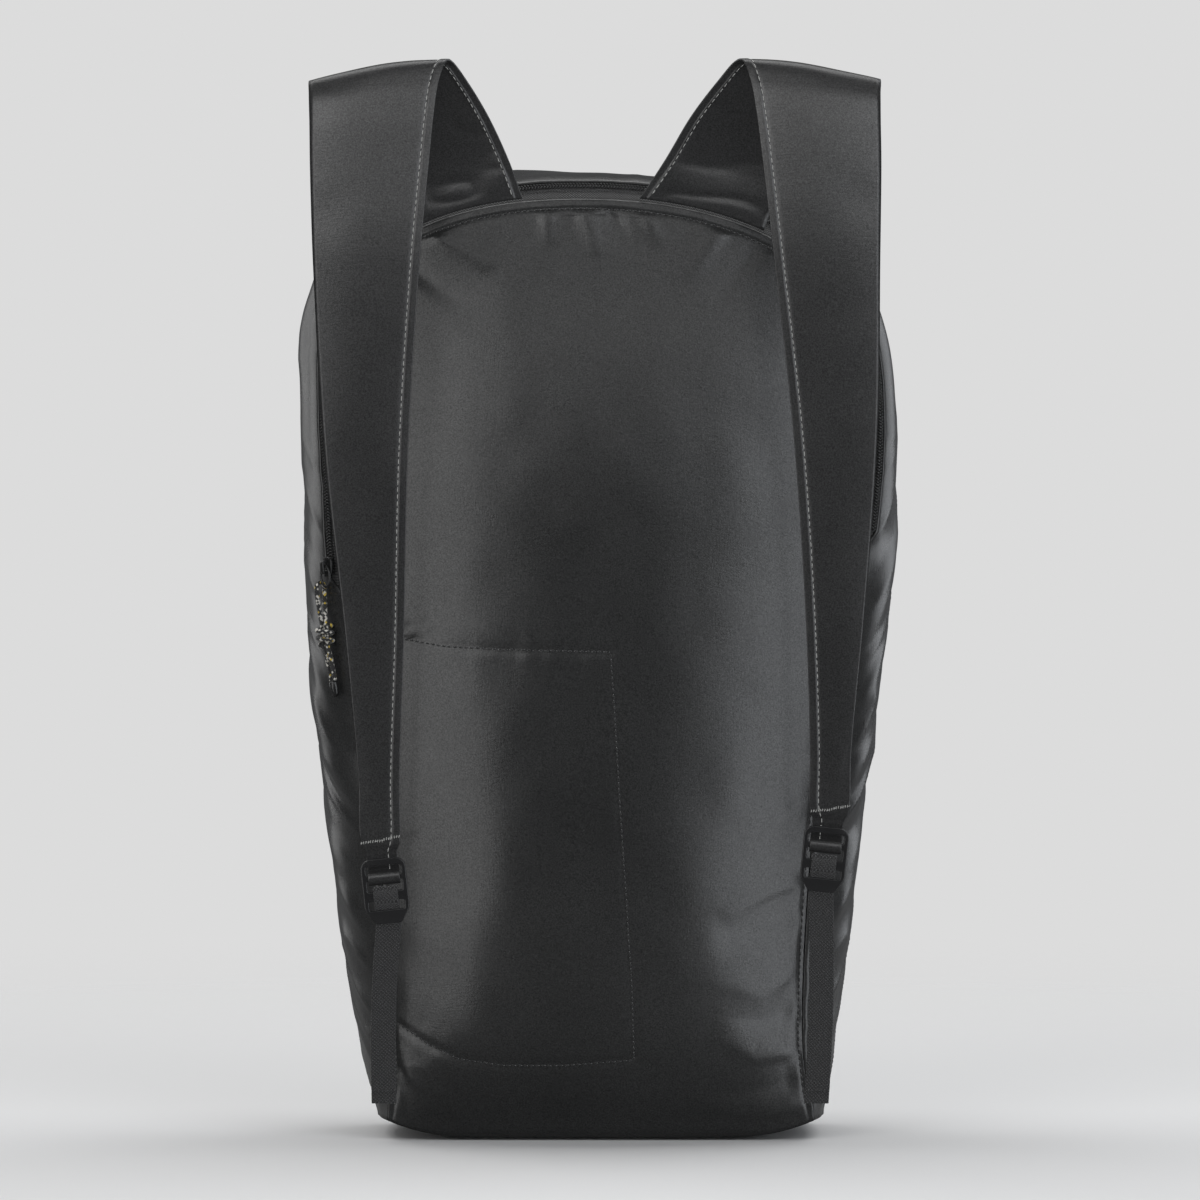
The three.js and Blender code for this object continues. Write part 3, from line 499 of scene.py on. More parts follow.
def ramp(tree, fac, stops):
    node = add(tree, "ShaderNodeValToRGB")
    elements = node.color_ramp.elements
    while len(elements) < len(stops):
        elements.new(0.5)
    for element, (position, color) in zip(elements, stops):
        element.position = position
        element.color = (*color, 1) if len(color) == 3 else color
    socket(tree, fac, node, "Fac")
    return node.outputs["Color"]


def spread(tree, fac, low, high):
    node = add(tree, "ShaderNodeMapRange")
    node.inputs["To Min"].default_value = low
    node.inputs["To Max"].default_value = high
    socket(tree, fac, node, "Value")
    return node.outputs["Result"]


def bump(tree, height, distance, strength, under=None):
    node = add(tree, "ShaderNodeBump", Distance=distance, Strength=strength)
    socket(tree, height, node, "Height")
    if under is not None:
        socket(tree, under, node, "Normal")
    return node.outputs["Normal"]


def threads(tree, pitch, turn=0.0):
    """A plain weave's height: warp and weft waves of one thread pitch in metres."""
    vector = mapped(tree, "UV", (1 / pitch, 1 / pitch, 1), turn)
    waves = []
    for direction in ("X", "Y"):
        wave = add(tree, "ShaderNodeTexWave", bands_direction=direction, Scale=0.31831, Distortion=0.4)
        wave.inputs["Detail"].default_value = 0
        socket(tree, vector, wave, "Vector")
        waves.append(wave.outputs["Fac"])
    product = add(tree, "ShaderNodeMath", operation="MULTIPLY")
    tree.links.new(waves[0], product.inputs[0])
    tree.links.new(waves[1], product.inputs[1])
    return product.outputs["Value"]


def coated_nylon(name, color, roughness, grain=0.14, yarns=0.2, sheen=0.1):
    """Thin coated nylon: fine weave, uneven coating and faint cloudiness."""
    made, tree, shader = material(
        name, color, roughness, Sheen_Weight=sheen, Sheen_Roughness=0.45, Specular_IOR_Level=0.55,
    )
    cloud = clouds(tree, 9.0, 3.0)
    speckle = clouds(tree, 1500.0, 2.0, Roughness=0.7)
    tones = ramp(tree, cloud, [(0.3, times(color, 0.85)), (0.7, times(color, 1.2))])
    grains = ramp(tree, speckle, [(0.3, [0.55] * 3), (0.7, [1.45] * 3)])
    socket(tree, spread(tree, speckle, 0.15, 0.95), shader, "Specular IOR Level")
    mixed = add(tree, "ShaderNodeMix", data_type="RGBA", blend_type="MULTIPLY")
    mixed.inputs["Factor"].default_value = 1
    socket(tree, tones, mixed, "A")
    socket(tree, grains, mixed, "B")
    socket(tree, mixed.outputs["Result"], shader, "Base Color")
    rub = clouds(tree, 38.0, 4.0)
    socket(tree, spread(tree, rub, roughness - 0.06, roughness + 0.08), shader, "Roughness")
    normal = bump(tree, speckle, 0.0001, grain)
    # warp and weft as two noises drawn out along the cloth's two ways, too uneven to beat with the picture
    for drawn in ((1300.0, 240.0, 1), (240.0, 1300.0, 1)):
        normal = bump(tree, clouds(tree, 1.0, 1.0, "UV", drawn), 0.0001, yarns, normal)
    socket(tree, normal, shader, "Normal")
    return made


def woven_tape(name, color, pitch, roughness, strength=0.8, light=1.9):
    """Webbing and zip tape: a coarse weave whose raised threads are painted paler, partly the tape's own tone
    and partly a painted highlight on the thread tops.
    """
    made, tree, shader = material(name, color, roughness, Sheen_Weight=0.25, Sheen_Roughness=0.5)
    weave = threads(tree, pitch, math.radians(45))
    # raised threads painted up to `light` times paler than the base: partly weave tone, partly painted
    # highlight where curved threads catch the lamps
    tones = ramp(tree, weave, [(0.25, times(color, 0.7)), (0.85, times(color, light))])
    socket(tree, tones, shader, "Base Color")
    rough = bump(tree, clouds(tree, 2200.0, 2.0), 0.0002, 0.25)
    socket(tree, bump(tree, weave, pitch * 0.4, strength, rough), shader, "Normal")
    return made


def moulded_plastic(name, color, roughness, grain=0.12):
    made, tree, shader = material(name, color, roughness, Specular_IOR_Level=0.5)
    skin, wear = clouds(tree, 2600.0, 2.0), clouds(tree, 220.0, 3.0)
    socket(tree, spread(tree, wear, roughness - 0.1, roughness + 0.1), shader, "Roughness")
    socket(tree, bump(tree, skin, 0.0001, grain), shader, "Normal")
    return made


def flecked_cord(name):
    """Braided cord, black with white and a few yellow picks, on the cord's own UV map."""
    made, tree, shader = material(name, (0.012, 0.012, 0.012), 0.6, Sheen_Weight=0.2)
    vector = mapped(tree, "UV", (1 / 0.0009, 1 / 0.0009, 1), math.radians(45))
    snap = add(tree, "ShaderNodeVectorMath", operation="FLOOR")
    tree.links.new(vector, snap.inputs[0])
    pick = add(tree, "ShaderNodeTexWhiteNoise", noise_dimensions="2D")
    socket(tree, snap.outputs["Vector"], pick, "Vector")
    colors = ramp(tree, pick.outputs["Value"], [
        (0.0, (0.012, 0.012, 0.012)), (0.62, (0.03, 0.03, 0.03)), (0.66, (0.55, 0.4, 0.05)),
        (0.74, (0.62, 0.6, 0.55)), (1.0, (0.75, 0.74, 0.7)),
    ])
    colors.node.color_ramp.interpolation = "CONSTANT"
    socket(tree, colors, shader, "Base Color")
    socket(tree, bump(tree, threads(tree, 0.0009, math.radians(45)), 0.0003, 0.8), shader, "Normal")
    return made


def sewing_thread(name, color):
    """Twisted thread: slanting strands over the object's own coordinates."""
    made, tree, shader = material(name, color, 0.55, Sheen_Weight=0.3)
    twist = add(tree, "ShaderNodeTexWave", bands_direction="DIAGONAL", Scale=900.0)
    socket(tree, mapped(tree, "Object", (1, 1, 1)), twist, "Vector")
    strands = ramp(tree, twist.outputs["Fac"], [(0.0, times(color, 0.6)), (1.0, color)])
    socket(tree, strands, shader, "Base Color")
    socket(tree, bump(tree, twist.outputs["Fac"], 0.0001, 0.5), shader, "Normal")
    return made


BODY = coated_nylon("body nylon", (0.0202, 0.0204, 0.0203), 0.27, grain=0.3, yarns=0.3, sheen=0.03)
STRAP = coated_nylon("strap nylon", (0.016, 0.016, 0.0162), 0.32, grain=0.2, yarns=0.35, sheen=0.03)
POCKET = coated_nylon("pocket nylon", (0.022, 0.023, 0.023), 0.5)
# the webbing's raised threads are painted 2.6 times paler, partly as a painted highlight
WEB = woven_tape("webbing weave", (0.021, 0.021, 0.0215), 0.00115, 0.42, strength=1.0, light=2.6)
TAPE = woven_tape("zip tape weave", (0.014, 0.014, 0.014), 0.0009, 0.7)
COIL = moulded_plastic("zip coil", (0.014, 0.014, 0.014), 0.16, grain=0.04)
LOCK = moulded_plastic("lock plastic", (0.013, 0.013, 0.0135), 0.22, grain=0.2)
SLIDER = moulded_plastic("slider paint", (0.01, 0.01, 0.01), 0.28, grain=0.05)
CORD = flecked_cord("flecked cord")
TIP = moulded_plastic("sealed cord tip", (0.012, 0.012, 0.012), 0.2, grain=0.05)
PALE_THREAD = sewing_thread("pale thread", (0.46, 0.46, 0.44))
# the dark thread is darker than the cloth, partly its own black and partly painted shade of the stitch holes;
# the pale grey below is a painted highlight for the back panel's dark stitches
DARK_THREAD = sewing_thread("dark thread", (0.006, 0.006, 0.006))
THREAD_HIGHLIGHT_GREY = sewing_thread("grey thread", (0.13, 0.13, 0.13))


# Making pieces

PIECES = []


def as_mesh(shape, name):
    mesh = bpy.data.meshes.new(name)
    shape.to_mesh(mesh)
    shape.free()
    return mesh


def grid_shape(places, u, v):
    """A grid with a vertex at each of the places and its UV, all in metres."""
    rows, columns = places.shape[0] - 1, places.shape[1] - 1
    shape = bmesh.new()
    layer = shape.loops.layers.uv.new("UVMap")
    bmesh.ops.create_grid(shape, x_segments=columns, y_segments=rows, size=0.5)
    spots = {}
    for vert in shape.verts:
        i, j = round((vert.co.x + 0.5) * columns), round((vert.co.y + 0.5) * rows)
        spots[vert] = (j, i)
        vert.co = places[j, i]
    for face in shape.faces:
        for loop in face.loops:
            spot = spots[loop.vert]
            loop[layer].uv = (u[spot], v[spot])
    return shape


def frame_matrix(axes, place):
    """A matrix from three axes in columns and a place in metres."""
    matrix = Matrix.Identity(4)
    for r in range(3):
        for c in range(3):
            matrix[r][c] = axes[r, c]
    matrix.translation = place
    return matrix


def finish_piece(name, mesh, paint, node=None):
    mesh.name = name
    mesh.materials.append(paint)
    for face in mesh.polygons:
        face.use_smooth = True
    piece = bpy.data.objects.new(name, mesh)
    bpy.context.scene.collection.objects.link(piece)
    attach(piece, "root")
    if node:
        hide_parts(*([node] if isinstance(node, str) else node))
    PIECES.append(piece)
    return piece


class Cloth:
    """A sheet of cloth as rows of places in millimetres, with its directions and its normals."""

    def __init__(self, places):
        self.places = places
        self.refresh()

    def refresh(self):
        self.normals = unit(np.cross(np.gradient(self.places, axis=1), np.gradient(self.places, axis=0)))

    def raised(self, rise):
        self.places = self.places + self.normals * np.asarray(rise)[..., None]
        self.refresh()
        return self

    def at(self, columns, rows):
        """Places and normals at column and row numbers that need not be whole."""
        last_row, last_column = self.places.shape[0] - 1, self.places.shape[1] - 1
        columns, rows = np.clip(columns, 0, last_column), np.clip(rows, 0, last_row)
        i, j = np.minimum(columns.astype(int), last_column - 1), np.minimum(rows.astype(int), last_row - 1)
        fx, fy = (columns - i)[:, None], (rows - j)[:, None]
        read = lambda grid: lerp(
            lerp(grid[j, i], grid[j, i + 1], fx), lerp(grid[j + 1, i], grid[j + 1, i + 1], fx), fy
        )
        return read(self.places), unit(read(self.normals))

    def piece(self, name, paint, slot, node=None, thickness=0.6):
        rows, columns = self.places.shape[0] - 1, self.places.shape[1] - 1
        steps = np.linalg.norm(np.diff(self.places, axis=1), axis=-1) * MM
        climbs = np.linalg.norm(np.diff(self.places, axis=0), axis=-1) * MM
        u = np.concatenate([np.zeros((rows + 1, 1)), np.cumsum(steps, axis=1)], axis=1)
        v = np.concatenate([np.zeros((1, columns + 1)), np.cumsum(climbs, axis=0)], axis=0)
        u = u - u[:, -1:] / 2
        v = np.repeat(v.mean(axis=1, keepdims=True), columns + 1, axis=1)
        mesh = as_mesh(grid_shape(metres(self.places), u, v), name)
        piece = finish_piece(name, mesh, paint, node)
        wall = piece.modifiers.new("wall", "SOLIDIFY")
        wall.thickness = thickness * MM
        wall.offset = 0
        return piece


def turned_in(places, inward, depth, rows=2, last=True):
    """Places with rows added where the cloth turns in at a seam, along a unit direction for each column."""
    edge = places[-1] if last else places[0]
    extra = [edge + inward * depth * (k + 1) / rows for k in range(rows)]
    if last:
        return np.concatenate([places, np.stack(extra)], axis=0)
    return np.concatenate([np.stack(extra[::-1]), places], axis=0)


def stitch_template():
    shape = bmesh.new()
    bmesh.ops.create_uvsphere(shape, u_segments=6, v_segments=5, radius=0.5)
    bmesh.ops.rotate(shape, verts=shape.verts, cent=(0, 0, 0), matrix=Matrix.Rotation(math.pi / 2, 3, "Y"))
    return as_mesh(shape, "stitch")


def scatter(name, template, frames, paint, node=None):
    """Copies of a small shape in one piece. Each frame holds its scaled axes in columns, then its place."""
    base = np.empty(len(template.vertices) * 3)
    template.vertices.foreach_get("co", base)
    base = base.reshape(-1, 3)
    shape = bmesh.new()
    scratch = template.copy()
    for turned in frames:
        scratch.vertices.foreach_set("co", (base @ turned[:, :3].T + turned[:, 3]).ravel())
        shape.from_mesh(scratch)
    mesh = as_mesh(shape, name)
    bpy.data.meshes.remove(scratch)
    return finish_piece(name, mesh, paint, node)


STITCH = stitch_template()


# The stitches' pitch, length and width in millimetres
POCKET_STITCH = (2.6, 1.7, 0.9)
ARCH_STITCH = (2.8, 1.8, 1.0)
SIDE_STITCH = (3.0, 2.0, 0.9)
TAPE_STITCH = (1.5, 1.2, 0.4)
STRAP_STITCH = (3.1, 2.35, 0.46)
TACK_STITCH = (1.05, 1.5, 0.5)
LOOSE_TACK_STITCH = (3.3, 1.1, 0.36)


def stitch_frames(points, normals, size, raise_by, slant=0.0):
    """One frame for each stitch along a line of places, lying on the cloth."""
    pitch, length, width = size
    both = evenly(np.concatenate([points, normals], axis=1), pitch)
    places, ups = both[:, :3], unit(both[:, 3:])
    along = unit(np.gradient(places, axis=0))
    side = unit(np.cross(ups, along))
    along = unit(along * math.cos(slant) + side * math.sin(slant))
    side = unit(np.cross(ups, along))
    frames = []
    for place, a, s, n in zip(places, along, side, ups):
        axes = np.stack([a * length, s * width, n * width * 0.9], axis=1) * MM
        frames.append(np.concatenate([axes, metres(place + n * raise_by)[:, None]], axis=1))
    return frames


# The pull cord comes first, then the cloth
def tube(name, route, radius, sides, rings, paint, node=None, braid=0.0):
    """A closed round tube along a line in millimetres, with UV in metres round and along it."""
    line = evenly(smooth_curve(route, np.linspace(0, 1, 600)), 0.05)
    picks = np.linspace(0, len(line) - 1, rings + 1).astype(int)
    centre = line[picks]
    along = unit(np.gradient(centre, axis=0))
    side = unit(np.cross(along[0], (0.3, 1.0, 0.2)))
    sides_of, ups = [], []
    for direction in along:
        side = unit(side - direction * (side @ direction))
        sides_of.append(side)
        ups.append(np.cross(direction, side))
    sides_of, ups = np.array(sides_of)[:, None], np.array(ups)[:, None]
    length = np.concatenate([[0], np.cumsum(np.linalg.norm(np.diff(centre, axis=0), axis=1))])
    angle, run = np.meshgrid(2 * math.pi * np.arange(sides + 1) / sides, length)
    wave = np.sin(3 * angle + run * 3.2) * np.sin(3 * angle - run * 3.2)
    reach = (radius * (1 + braid * wave))[..., None]
    spokes = np.cos(angle)[..., None] * sides_of + np.sin(angle)[..., None] * ups
    shape = grid_shape(metres(centre[:, None] + reach * spokes), angle * radius * MM, run * MM)
    bmesh.ops.remove_doubles(shape, verts=shape.verts, dist=1e-6)
    bmesh.ops.holes_fill(shape, edges=shape.edges, sides=0)
    bmesh.ops.recalc_face_normals(shape, faces=shape.faces)
    return finish_piece(name, as_mesh(shape, name), paint, node), centre, length[-1]


def make_camera():
    lens = bpy.data.cameras.new("camera")
    lens.sensor_width = 36
    lens.lens = 36 * CAMERA_DISTANCE / PICTURE_WIDTH
    lens.clip_end = 50
    camera = bpy.data.objects.new("camera", lens)
    bpy.context.scene.collection.objects.link(camera)
    camera.location = (
        0,
        -CAMERA_DISTANCE * math.cos(CAMERA_ELEVATION),
        PICTURE_MIDDLE + CAMERA_DISTANCE * math.sin(CAMERA_ELEVATION),
    )
    camera.rotation_euler = (math.pi / 2 - CAMERA_ELEVATION, 0, 0)
    bpy.context.scene.camera = camera


def make_cord():
    cord, line, length = tube(
        "pull_cord_braid", CORD_ROUTE, CORD_RADIUS, 12, 240, CORD, "pull_cord", 0.05
    )
    strands = lambda i: (np.array(CORD_ROUTE[i]) + np.array(CORD_ROUTE[-1 - i])) / 2
    low, high = strands(4), strands(6)
    up = unit(high - low)
    side = unit(np.cross(up, (0, 1, 0)))
    front = np.cross(side, up)
    turns = 2.4
    wrap = []
    for share in np.linspace(0, 1, 26):
        angle = 2 * math.pi * turns * share + 0.6
        reach = 2.75 + 0.25 * math.sin(math.pi * share)
        wrap.append(
            low + up * ((high - low) @ up) * (0.05 + 0.9 * share) + side * reach * math.cos(angle) * 1.12
            + front * reach * math.sin(angle)
        )
    wrap = [wrap[0] - up * 1.2 - side * 0.9] + wrap + [wrap[-1] + up * 1.0 + side * 0.6]
    knot = tube(
        "cord_knot_wraps", wrap, CORD_RADIUS * 0.98, 12, 200, CORD, "cord_knot", 0.05
    )[0]
    tip_top = strands(0)
    down = unit(tip_top - strands(1))
    shape = bmesh.new()
    profile = [(0.0, 0.2), (1.75, 0.2), (2.05, 0.7), (2.0, 3.2)]
    profile += [(1.7, 5.4), (1.35, 6.6), (0.7, 7.1), (0.0, 7.25)]
    verts = [shape.verts.new((r, 0, z)) for r, z in profile]
    edges = [shape.edges.new(pair) for pair in zip(verts, verts[1:])]
    bmesh.ops.spin(
        shape, geom=verts + edges, cent=(0, 0, 0), axis=(0, 0, 1), angle=2 * math.pi,
        steps=20, use_merge=True,
    )
    bmesh.ops.remove_doubles(shape, verts=shape.verts, dist=1e-4)
    bmesh.ops.recalc_face_normals(shape, faces=shape.faces)
    turn = Vector((0, 0, 1)).rotation_difference(Vector(down)).to_matrix().to_4x4()
    bmesh.ops.transform(
        shape, verts=shape.verts,
        matrix=Matrix.Translation(metres(tip_top)) @ turn @ Matrix.Scale(MM, 4),
    )
    tip = finish_piece("cord_tip_sealed", as_mesh(shape, "cord_tip_sealed"), TIP, "cord_tip")


# The panels

def arch_distance(facing, places):
    """Millimetres in from the arch's edge and from the side seams, in the panel's own plane."""
    t = np.linspace(-1, 1, 900)
    seam = seam_point(facing, t)
    arch = seam[np.abs(t) <= ARCH_SHARE]
    sides = seam[np.abs(t) > ARCH_SHARE]
    flat = places[..., [0, 2]].reshape(-1, 2)

    def nearest(line):
        best = np.full(len(flat), 1e9)
        for point in line[:, [0, 2]]:
            best = np.minimum(best, np.hypot(flat[:, 0] - point[0], flat[:, 1] - point[1]))
        return best.reshape(places.shape[:2])

    return nearest(arch), nearest(sides)


POCKET_LINE_TOP = [(-92, 225.5), (-80, 223.5), (-70, 222), (-45, 221), (-20, 220.5), (2.5, 220)]
POCKET_LINE_SIDE = [(2.5, 220), (4.5, 190), (6.8, 150), (9.5, 110), (12, 70), (13, 38)]
POCKET_LINE_BOTTOM = [(13, 38), (0, 37), (-20, 35.5), (-45, 35.5), (-65, 38), (-78, 44), (-92, 53)]
HEM = 3.4  # the folded edge over the arch
HEM_STITCHES = HEM + 0.9  # from the arch's edge in to its stitches
SIDE_STITCHES = 1.7  # from a side seam in to its stitches
STITCH_RISE = 0.42  # from the middle of the panel's cloth up to the middle of its thread


def line_distance(line, across, up, pitch=1.0):
    """How far each place is from a line of stitches, and how far along the line it is nearest."""
    points = evenly(np.array(line, float), pitch)
    best = np.full(np.shape(across), 1e9)
    run = np.zeros(np.shape(across))
    for k, (x, z) in enumerate(points):
        away = np.hypot(across - x, up - z)
        nearer = away < best
        best = np.where(nearer, away, best)
        run = np.where(nearer, k * pitch, run)
    return best, run


def make_panel(facing, name, node):
    columns, rows = (170, 250) if facing < 0 else (110, 150)
    # rows close together below the arch, for its hem
    up = np.concatenate([np.linspace(0, 0.965, rows - 29)[:-1], np.linspace(0.965, 1, 31)])
    u, v = np.meshgrid(np.linspace(-1, 1, columns + 1), up)
    a = arch_across(lerp(u, np.sin(u * math.pi / 2), 0.25) * math.pi / 2)
    cloth = Cloth(panel_point(facing, a, v))
    if facing > 0:
        cloth.normals = -cloth.normals
    flip = 1 if cloth.normals[rows // 2, columns // 2, 1] * facing > 0 else -1
    x, z = cloth.places[..., 0], cloth.places[..., 2]
    arch, side = arch_distance(facing, cloth.places)
    seam = np.minimum(arch, side)
    off_seam = smoothstep(0.5, 9, seam)
    rise = 0.5 * noise(x / 46, z / 60, 1) + 0.22 * noise(x / 17, z / 24, 2)
    if facing < 0:
        # the folds that fan out below the arch are the stronger ones
        share = 0.7 + 0.9 * smoothstep(350, 385, z)
        rise = rise + share * fold_lines(BACK_FOLDS, x, z) * smoothstep(0, 3, seam)
    else:
        swept = creases((x + 0.6 * z) / 34, (z - 0.4 * x) / 90, 3)
        rise = rise + 1.8 * swept * np.exp(-seam / 45)
    rise = rise * off_seam
    along_side = z / 6.5
    pucker = noise(along_side, 0.3, 5) * np.exp(-side / 7) + noise(x / 6.0, 0.7, 6) * np.exp(-arch / 8)
    rise = rise + 0.32 * pucker * smoothstep(0, 1.5, seam)
    rise = rise + 0.3 * smoothstep(HEM + 0.6, HEM - 0.6, arch) - 0.22 * bell(arch, HEM_STITCHES, 1.0)
    rise = rise - 0.35 * bell(side, 1.6, 1.2) * smoothstep(4, 8, arch)
    if facing < 0:
        for k, line in enumerate((POCKET_LINE_TOP, POCKET_LINE_SIDE, POCKET_LINE_BOTTOM)):
            away, run = line_distance(line, x, z)
            gather = (0.5, 0.22, 0.3)[k]
            rise = rise - 0.5 * bell(away, 0, 1.5)
            rise = rise + gather * noise(run / 5.5, 3.1 * k, 8) * np.exp(-away / 6) * (1 - np.exp(-away))
    cloth.raised(rise * flip)
    edge = cloth.places[-1]
    inward = unit(np.array([-7.0, 0, 250]) - edge * np.array([1, 0, 1]))
    inward[:, 1] = -facing * 0.45
    places = turned_in(cloth.places, unit(inward), 3.0)
    places = turned_in(places, unit(np.array([0, -facing, 0.25])), 2.0, last=False)
    for last in (True, False):
        side_in = unit(np.array([-0.35 if last else 0.35, -facing, 0]))
        places = turned_in(places.transpose(1, 0, 2), side_in, 2.5, last=last).transpose(1, 0, 2)
    Cloth(places).piece(name, BODY, "body_nylon", node, thickness=0.5)
    return cloth


def panel_line(cloth, line):
    """Places and normals of the back panel's cloth at points given across and up."""
    dense = evenly(np.array(line, float), 0.8)
    flat = cloth.places[..., [0, 2]]
    points, normals = [], []
    for x, z in dense:
        away = np.hypot(flat[..., 0] - x, flat[..., 1] - z)
        j, i = np.unravel_index(np.argmin(away), away.shape)
        place = np.array([x, cloth.places[j, i, 1], z])
        slope = cloth.normals[j, i]
        step = place - cloth.places[j, i]
        place[1] -= (step[0] * slope[0] + step[2] * slope[2]) / (slope[1] if abs(slope[1]) > 0.2 else 1)
        points.append(place)
        normals.append(slope if slope[1] < 0 else -slope)
    return np.array(points), np.array(normals)


def make_back():
    cloth = make_panel(-1, "back_panel_cloth", "back_panel")
    dark, grey = [], []

    def sew(line, size):
        """Dark stitches along a line, darker than the cloth: partly the black thread, partly painted shade of
        the stitch holes. A pale grey speck where each two meet is a painted highlight on the thread.
        """
        points, normals = panel_line(cloth, line)
        pitch, length, width = size
        dark.extend(stitch_frames(points, normals, size, STITCH_RISE))
        # pale grey specks between the stitches: painted highlights on the dark thread
        speck = (pitch, length * 0.36, width * 0.55)
        grey.extend(stitch_frames(points[2:], normals[2:], speck, STITCH_RISE + 0.1))

    for line in (POCKET_LINE_TOP, POCKET_LINE_SIDE, POCKET_LINE_BOTTOM):
        sew(line, POCKET_STITCH)
    t = np.linspace(-ARCH_SHARE * 0.99, ARCH_SHARE * 0.99, 400)
    seam = seam_point(-1, t)[:, [0, 2]]
    along = unit(np.gradient(seam, axis=0))
    sew(seam + np.stack([along[:, 1], -along[:, 0]], axis=1) * HEM_STITCHES, ARCH_STITCH)
    for sign in (-1, 1):
        t = sign * np.linspace(ARCH_SHARE * 1.01, 0.985, 400)
        seam = seam_point(-1, t)[:, [0, 2]]
        seam[:, 0] -= sign * SIDE_STITCHES
        sew(seam, SIDE_STITCH)
    scatter("back_panel_stitches", STITCH, dark, DARK_THREAD)
    scatter("back_panel_thread_gaps", STITCH, grey, THREAD_HIGHLIGHT_GREY)


def make_front():
    make_panel(1, "front_panel_cloth", "front_panel")


def make_base():
    half_x = half_width_at(CORNER_HEIGHT) - CLOTH / 2 - SEWN_GAP
    half_y = depth_at(CORNER_HEIGHT) - CLOTH / 2 - SEWN_GAP
    u, v = np.meshgrid(np.linspace(-1, 1, 121), np.linspace(-1, 1, 51))
    corner = lift(u, 0.66)
    height = BOTTOM_SEAM_HEIGHT * lift(v, 0.72) * (1 - corner) + CORNER_HEIGHT * corner
    waver = 0.35 * (1 + noise(u * 7, v * 4, 4)) * smoothstep(0.2, 0.9, np.maximum(np.abs(u), np.abs(v)))
    places = np.stack([u * half_x + lean_at(height), v * half_y, CLOTH / 2 + height + waver], axis=-1)
    Cloth(places).piece("base_panel_cloth", BODY, "body_nylon", "base_panel", thickness=CLOTH)


def make_pocket():
    u, v = np.meshgrid(np.linspace(0, 1, 31), np.linspace(0, 1, 41))
    z = lerp(POCKET_BOTTOM, POCKET_TOP, v)
    right = (lerp(POCKET_RIGHT_LOW, POCKET_RIGHT_HIGH, v) - lean_at(z)) / half_width_at(z)
    a = lerp(-POCKET_LEFT, right, u)
    share = (z - BOTTOM_SEAM_HEIGHT) / (BACK_CREST - BOTTOM_SEAM_HEIGHT)
    cloth = Cloth(panel_point(-1, a, share))
    sign = 1 if cloth.normals[20, 15, 1] > 0 else -1
    behind = CLOTH / 2 + POCKET_GAP + POCKET_CLOTH / 2 + 1.2
    cloth.raised(np.full(u.shape, behind * sign))
    cloth.piece("stow_pocket_cloth", POCKET, "body_nylon", "stow_pocket", thickness=0.6)


# The gusset and its zip

def gusset_width(t):
    return np.linalg.norm(seam_point(-1, t) - seam_point(1, t), axis=-1)


SEAM_INSET = CLOTH / 2 + SEWN_GAP
CHAIN_START = SEAM_INSET + TAPE_SHOWN
ZIP_EDGE = CHAIN_START + CHAIN_WIDTH + SEWN_GAP
ZIP_LEFT = -seam_at_height(ZIP_END_LEFT)
ZIP_RIGHT = seam_at_height(ZIP_END_RIGHT)
ZIP_FADE = 0.025
TAPE_DROP = CLOTH / 2 + 2 * LAY_GAP + TAPE_THICKNESS / 2
CHAIN_RAISE = TAPE_THICKNESS / 2 + LAY_GAP + CHAIN_THICKNESS / 2 - TAPE_DROP


def outward_sign(cloth):
    """1 where the cloth's normals face away from the bag's middle, otherwise -1."""
    away = cloth.places - np.array([0.0, 0.0, BACK_CREST / 2])
    return 1.0 if np.sign(np.sum(cloth.normals * away, axis=-1)).mean() > 0 else -1.0


EDGE_INSET = 0.35  # from a seam's line to the gusset's edge


def make_gusset():
    columns, rows = 520, 46
    t, v = np.meshgrid(np.linspace(-1, 1, columns + 1), np.linspace(0, 1, rows + 1))
    width = gusset_width(t)
    opened = np.clip(1 + np.minimum(t - ZIP_LEFT, ZIP_RIGHT - t) / ZIP_FADE, 0, 1)
    start = lerp(EDGE_INSET, ZIP_EDGE, opened) / width
    s = lerp(start, 1 - EDGE_INSET / width, lerp(v, smoothstep(0, 1, v), 0.35))
    cloth = Cloth(gusset_point(t, s))
    sign = outward_sign(cloth)
    x, z = cloth.places[..., 0], cloth.places[..., 2]
    across = s * width
    edge = np.minimum(across, width - across)
    clear = smoothstep(1, 16, edge)
    side_part = smoothstep(ARCH_SHARE * 0.85, ARCH_SHARE * 1.25, np.abs(t))
    down = SHOULDER_HEIGHT - z
    # long folds that fall towards the back seam, bunched where the webbing pulls
    run_along = (across - 0.9 * down) / 52
    run_over = (down + 0.95 * across) / 12
    bunch = bell(z, 150, 110)
    long_folds = creases(run_over, run_along * 0.6, 9) * (0.35 + bunch) * side_part
    fine = noise(run_over * 1.9, run_along * 1.7, 12) * bunch * side_part
    rise = 1.1 * long_folds + 0.35 * fine + 0.4 * noise(across / 30, down / 46, 13)
    top = 1 - side_part
    rise = rise + top * (0.4 * noise(t * 42, across / 26, 14) + 0.6 * creases(t * 24, across / 60, 15))
    # the top stands higher on the slider's side
    rise = rise * clear + top * np.clip(-0.1 * (x + 16), -2.2, 2.4) * smoothstep(18, 32, edge)
    rise = rise + 0.5 * noise(t * 90, 0.2, 16) * np.exp(-edge / 7) * smoothstep(0, 1.5, edge)
    cloth.raised(rise * sign)
    normals = cloth.normals * sign
    first = unit(-normals[0] + np.array([0, 0.25, 0]))
    last = unit(-normals[-1] - np.array([0, 0.25, 0]))
    places = turned_in(cloth.places, last, 3.0)
    places = turned_in(places, first, 1.0, rows=1, last=False)
    Cloth(places).piece("gusset_cloth", BODY, "body_nylon", "gusset", thickness=0.5)
    return cloth


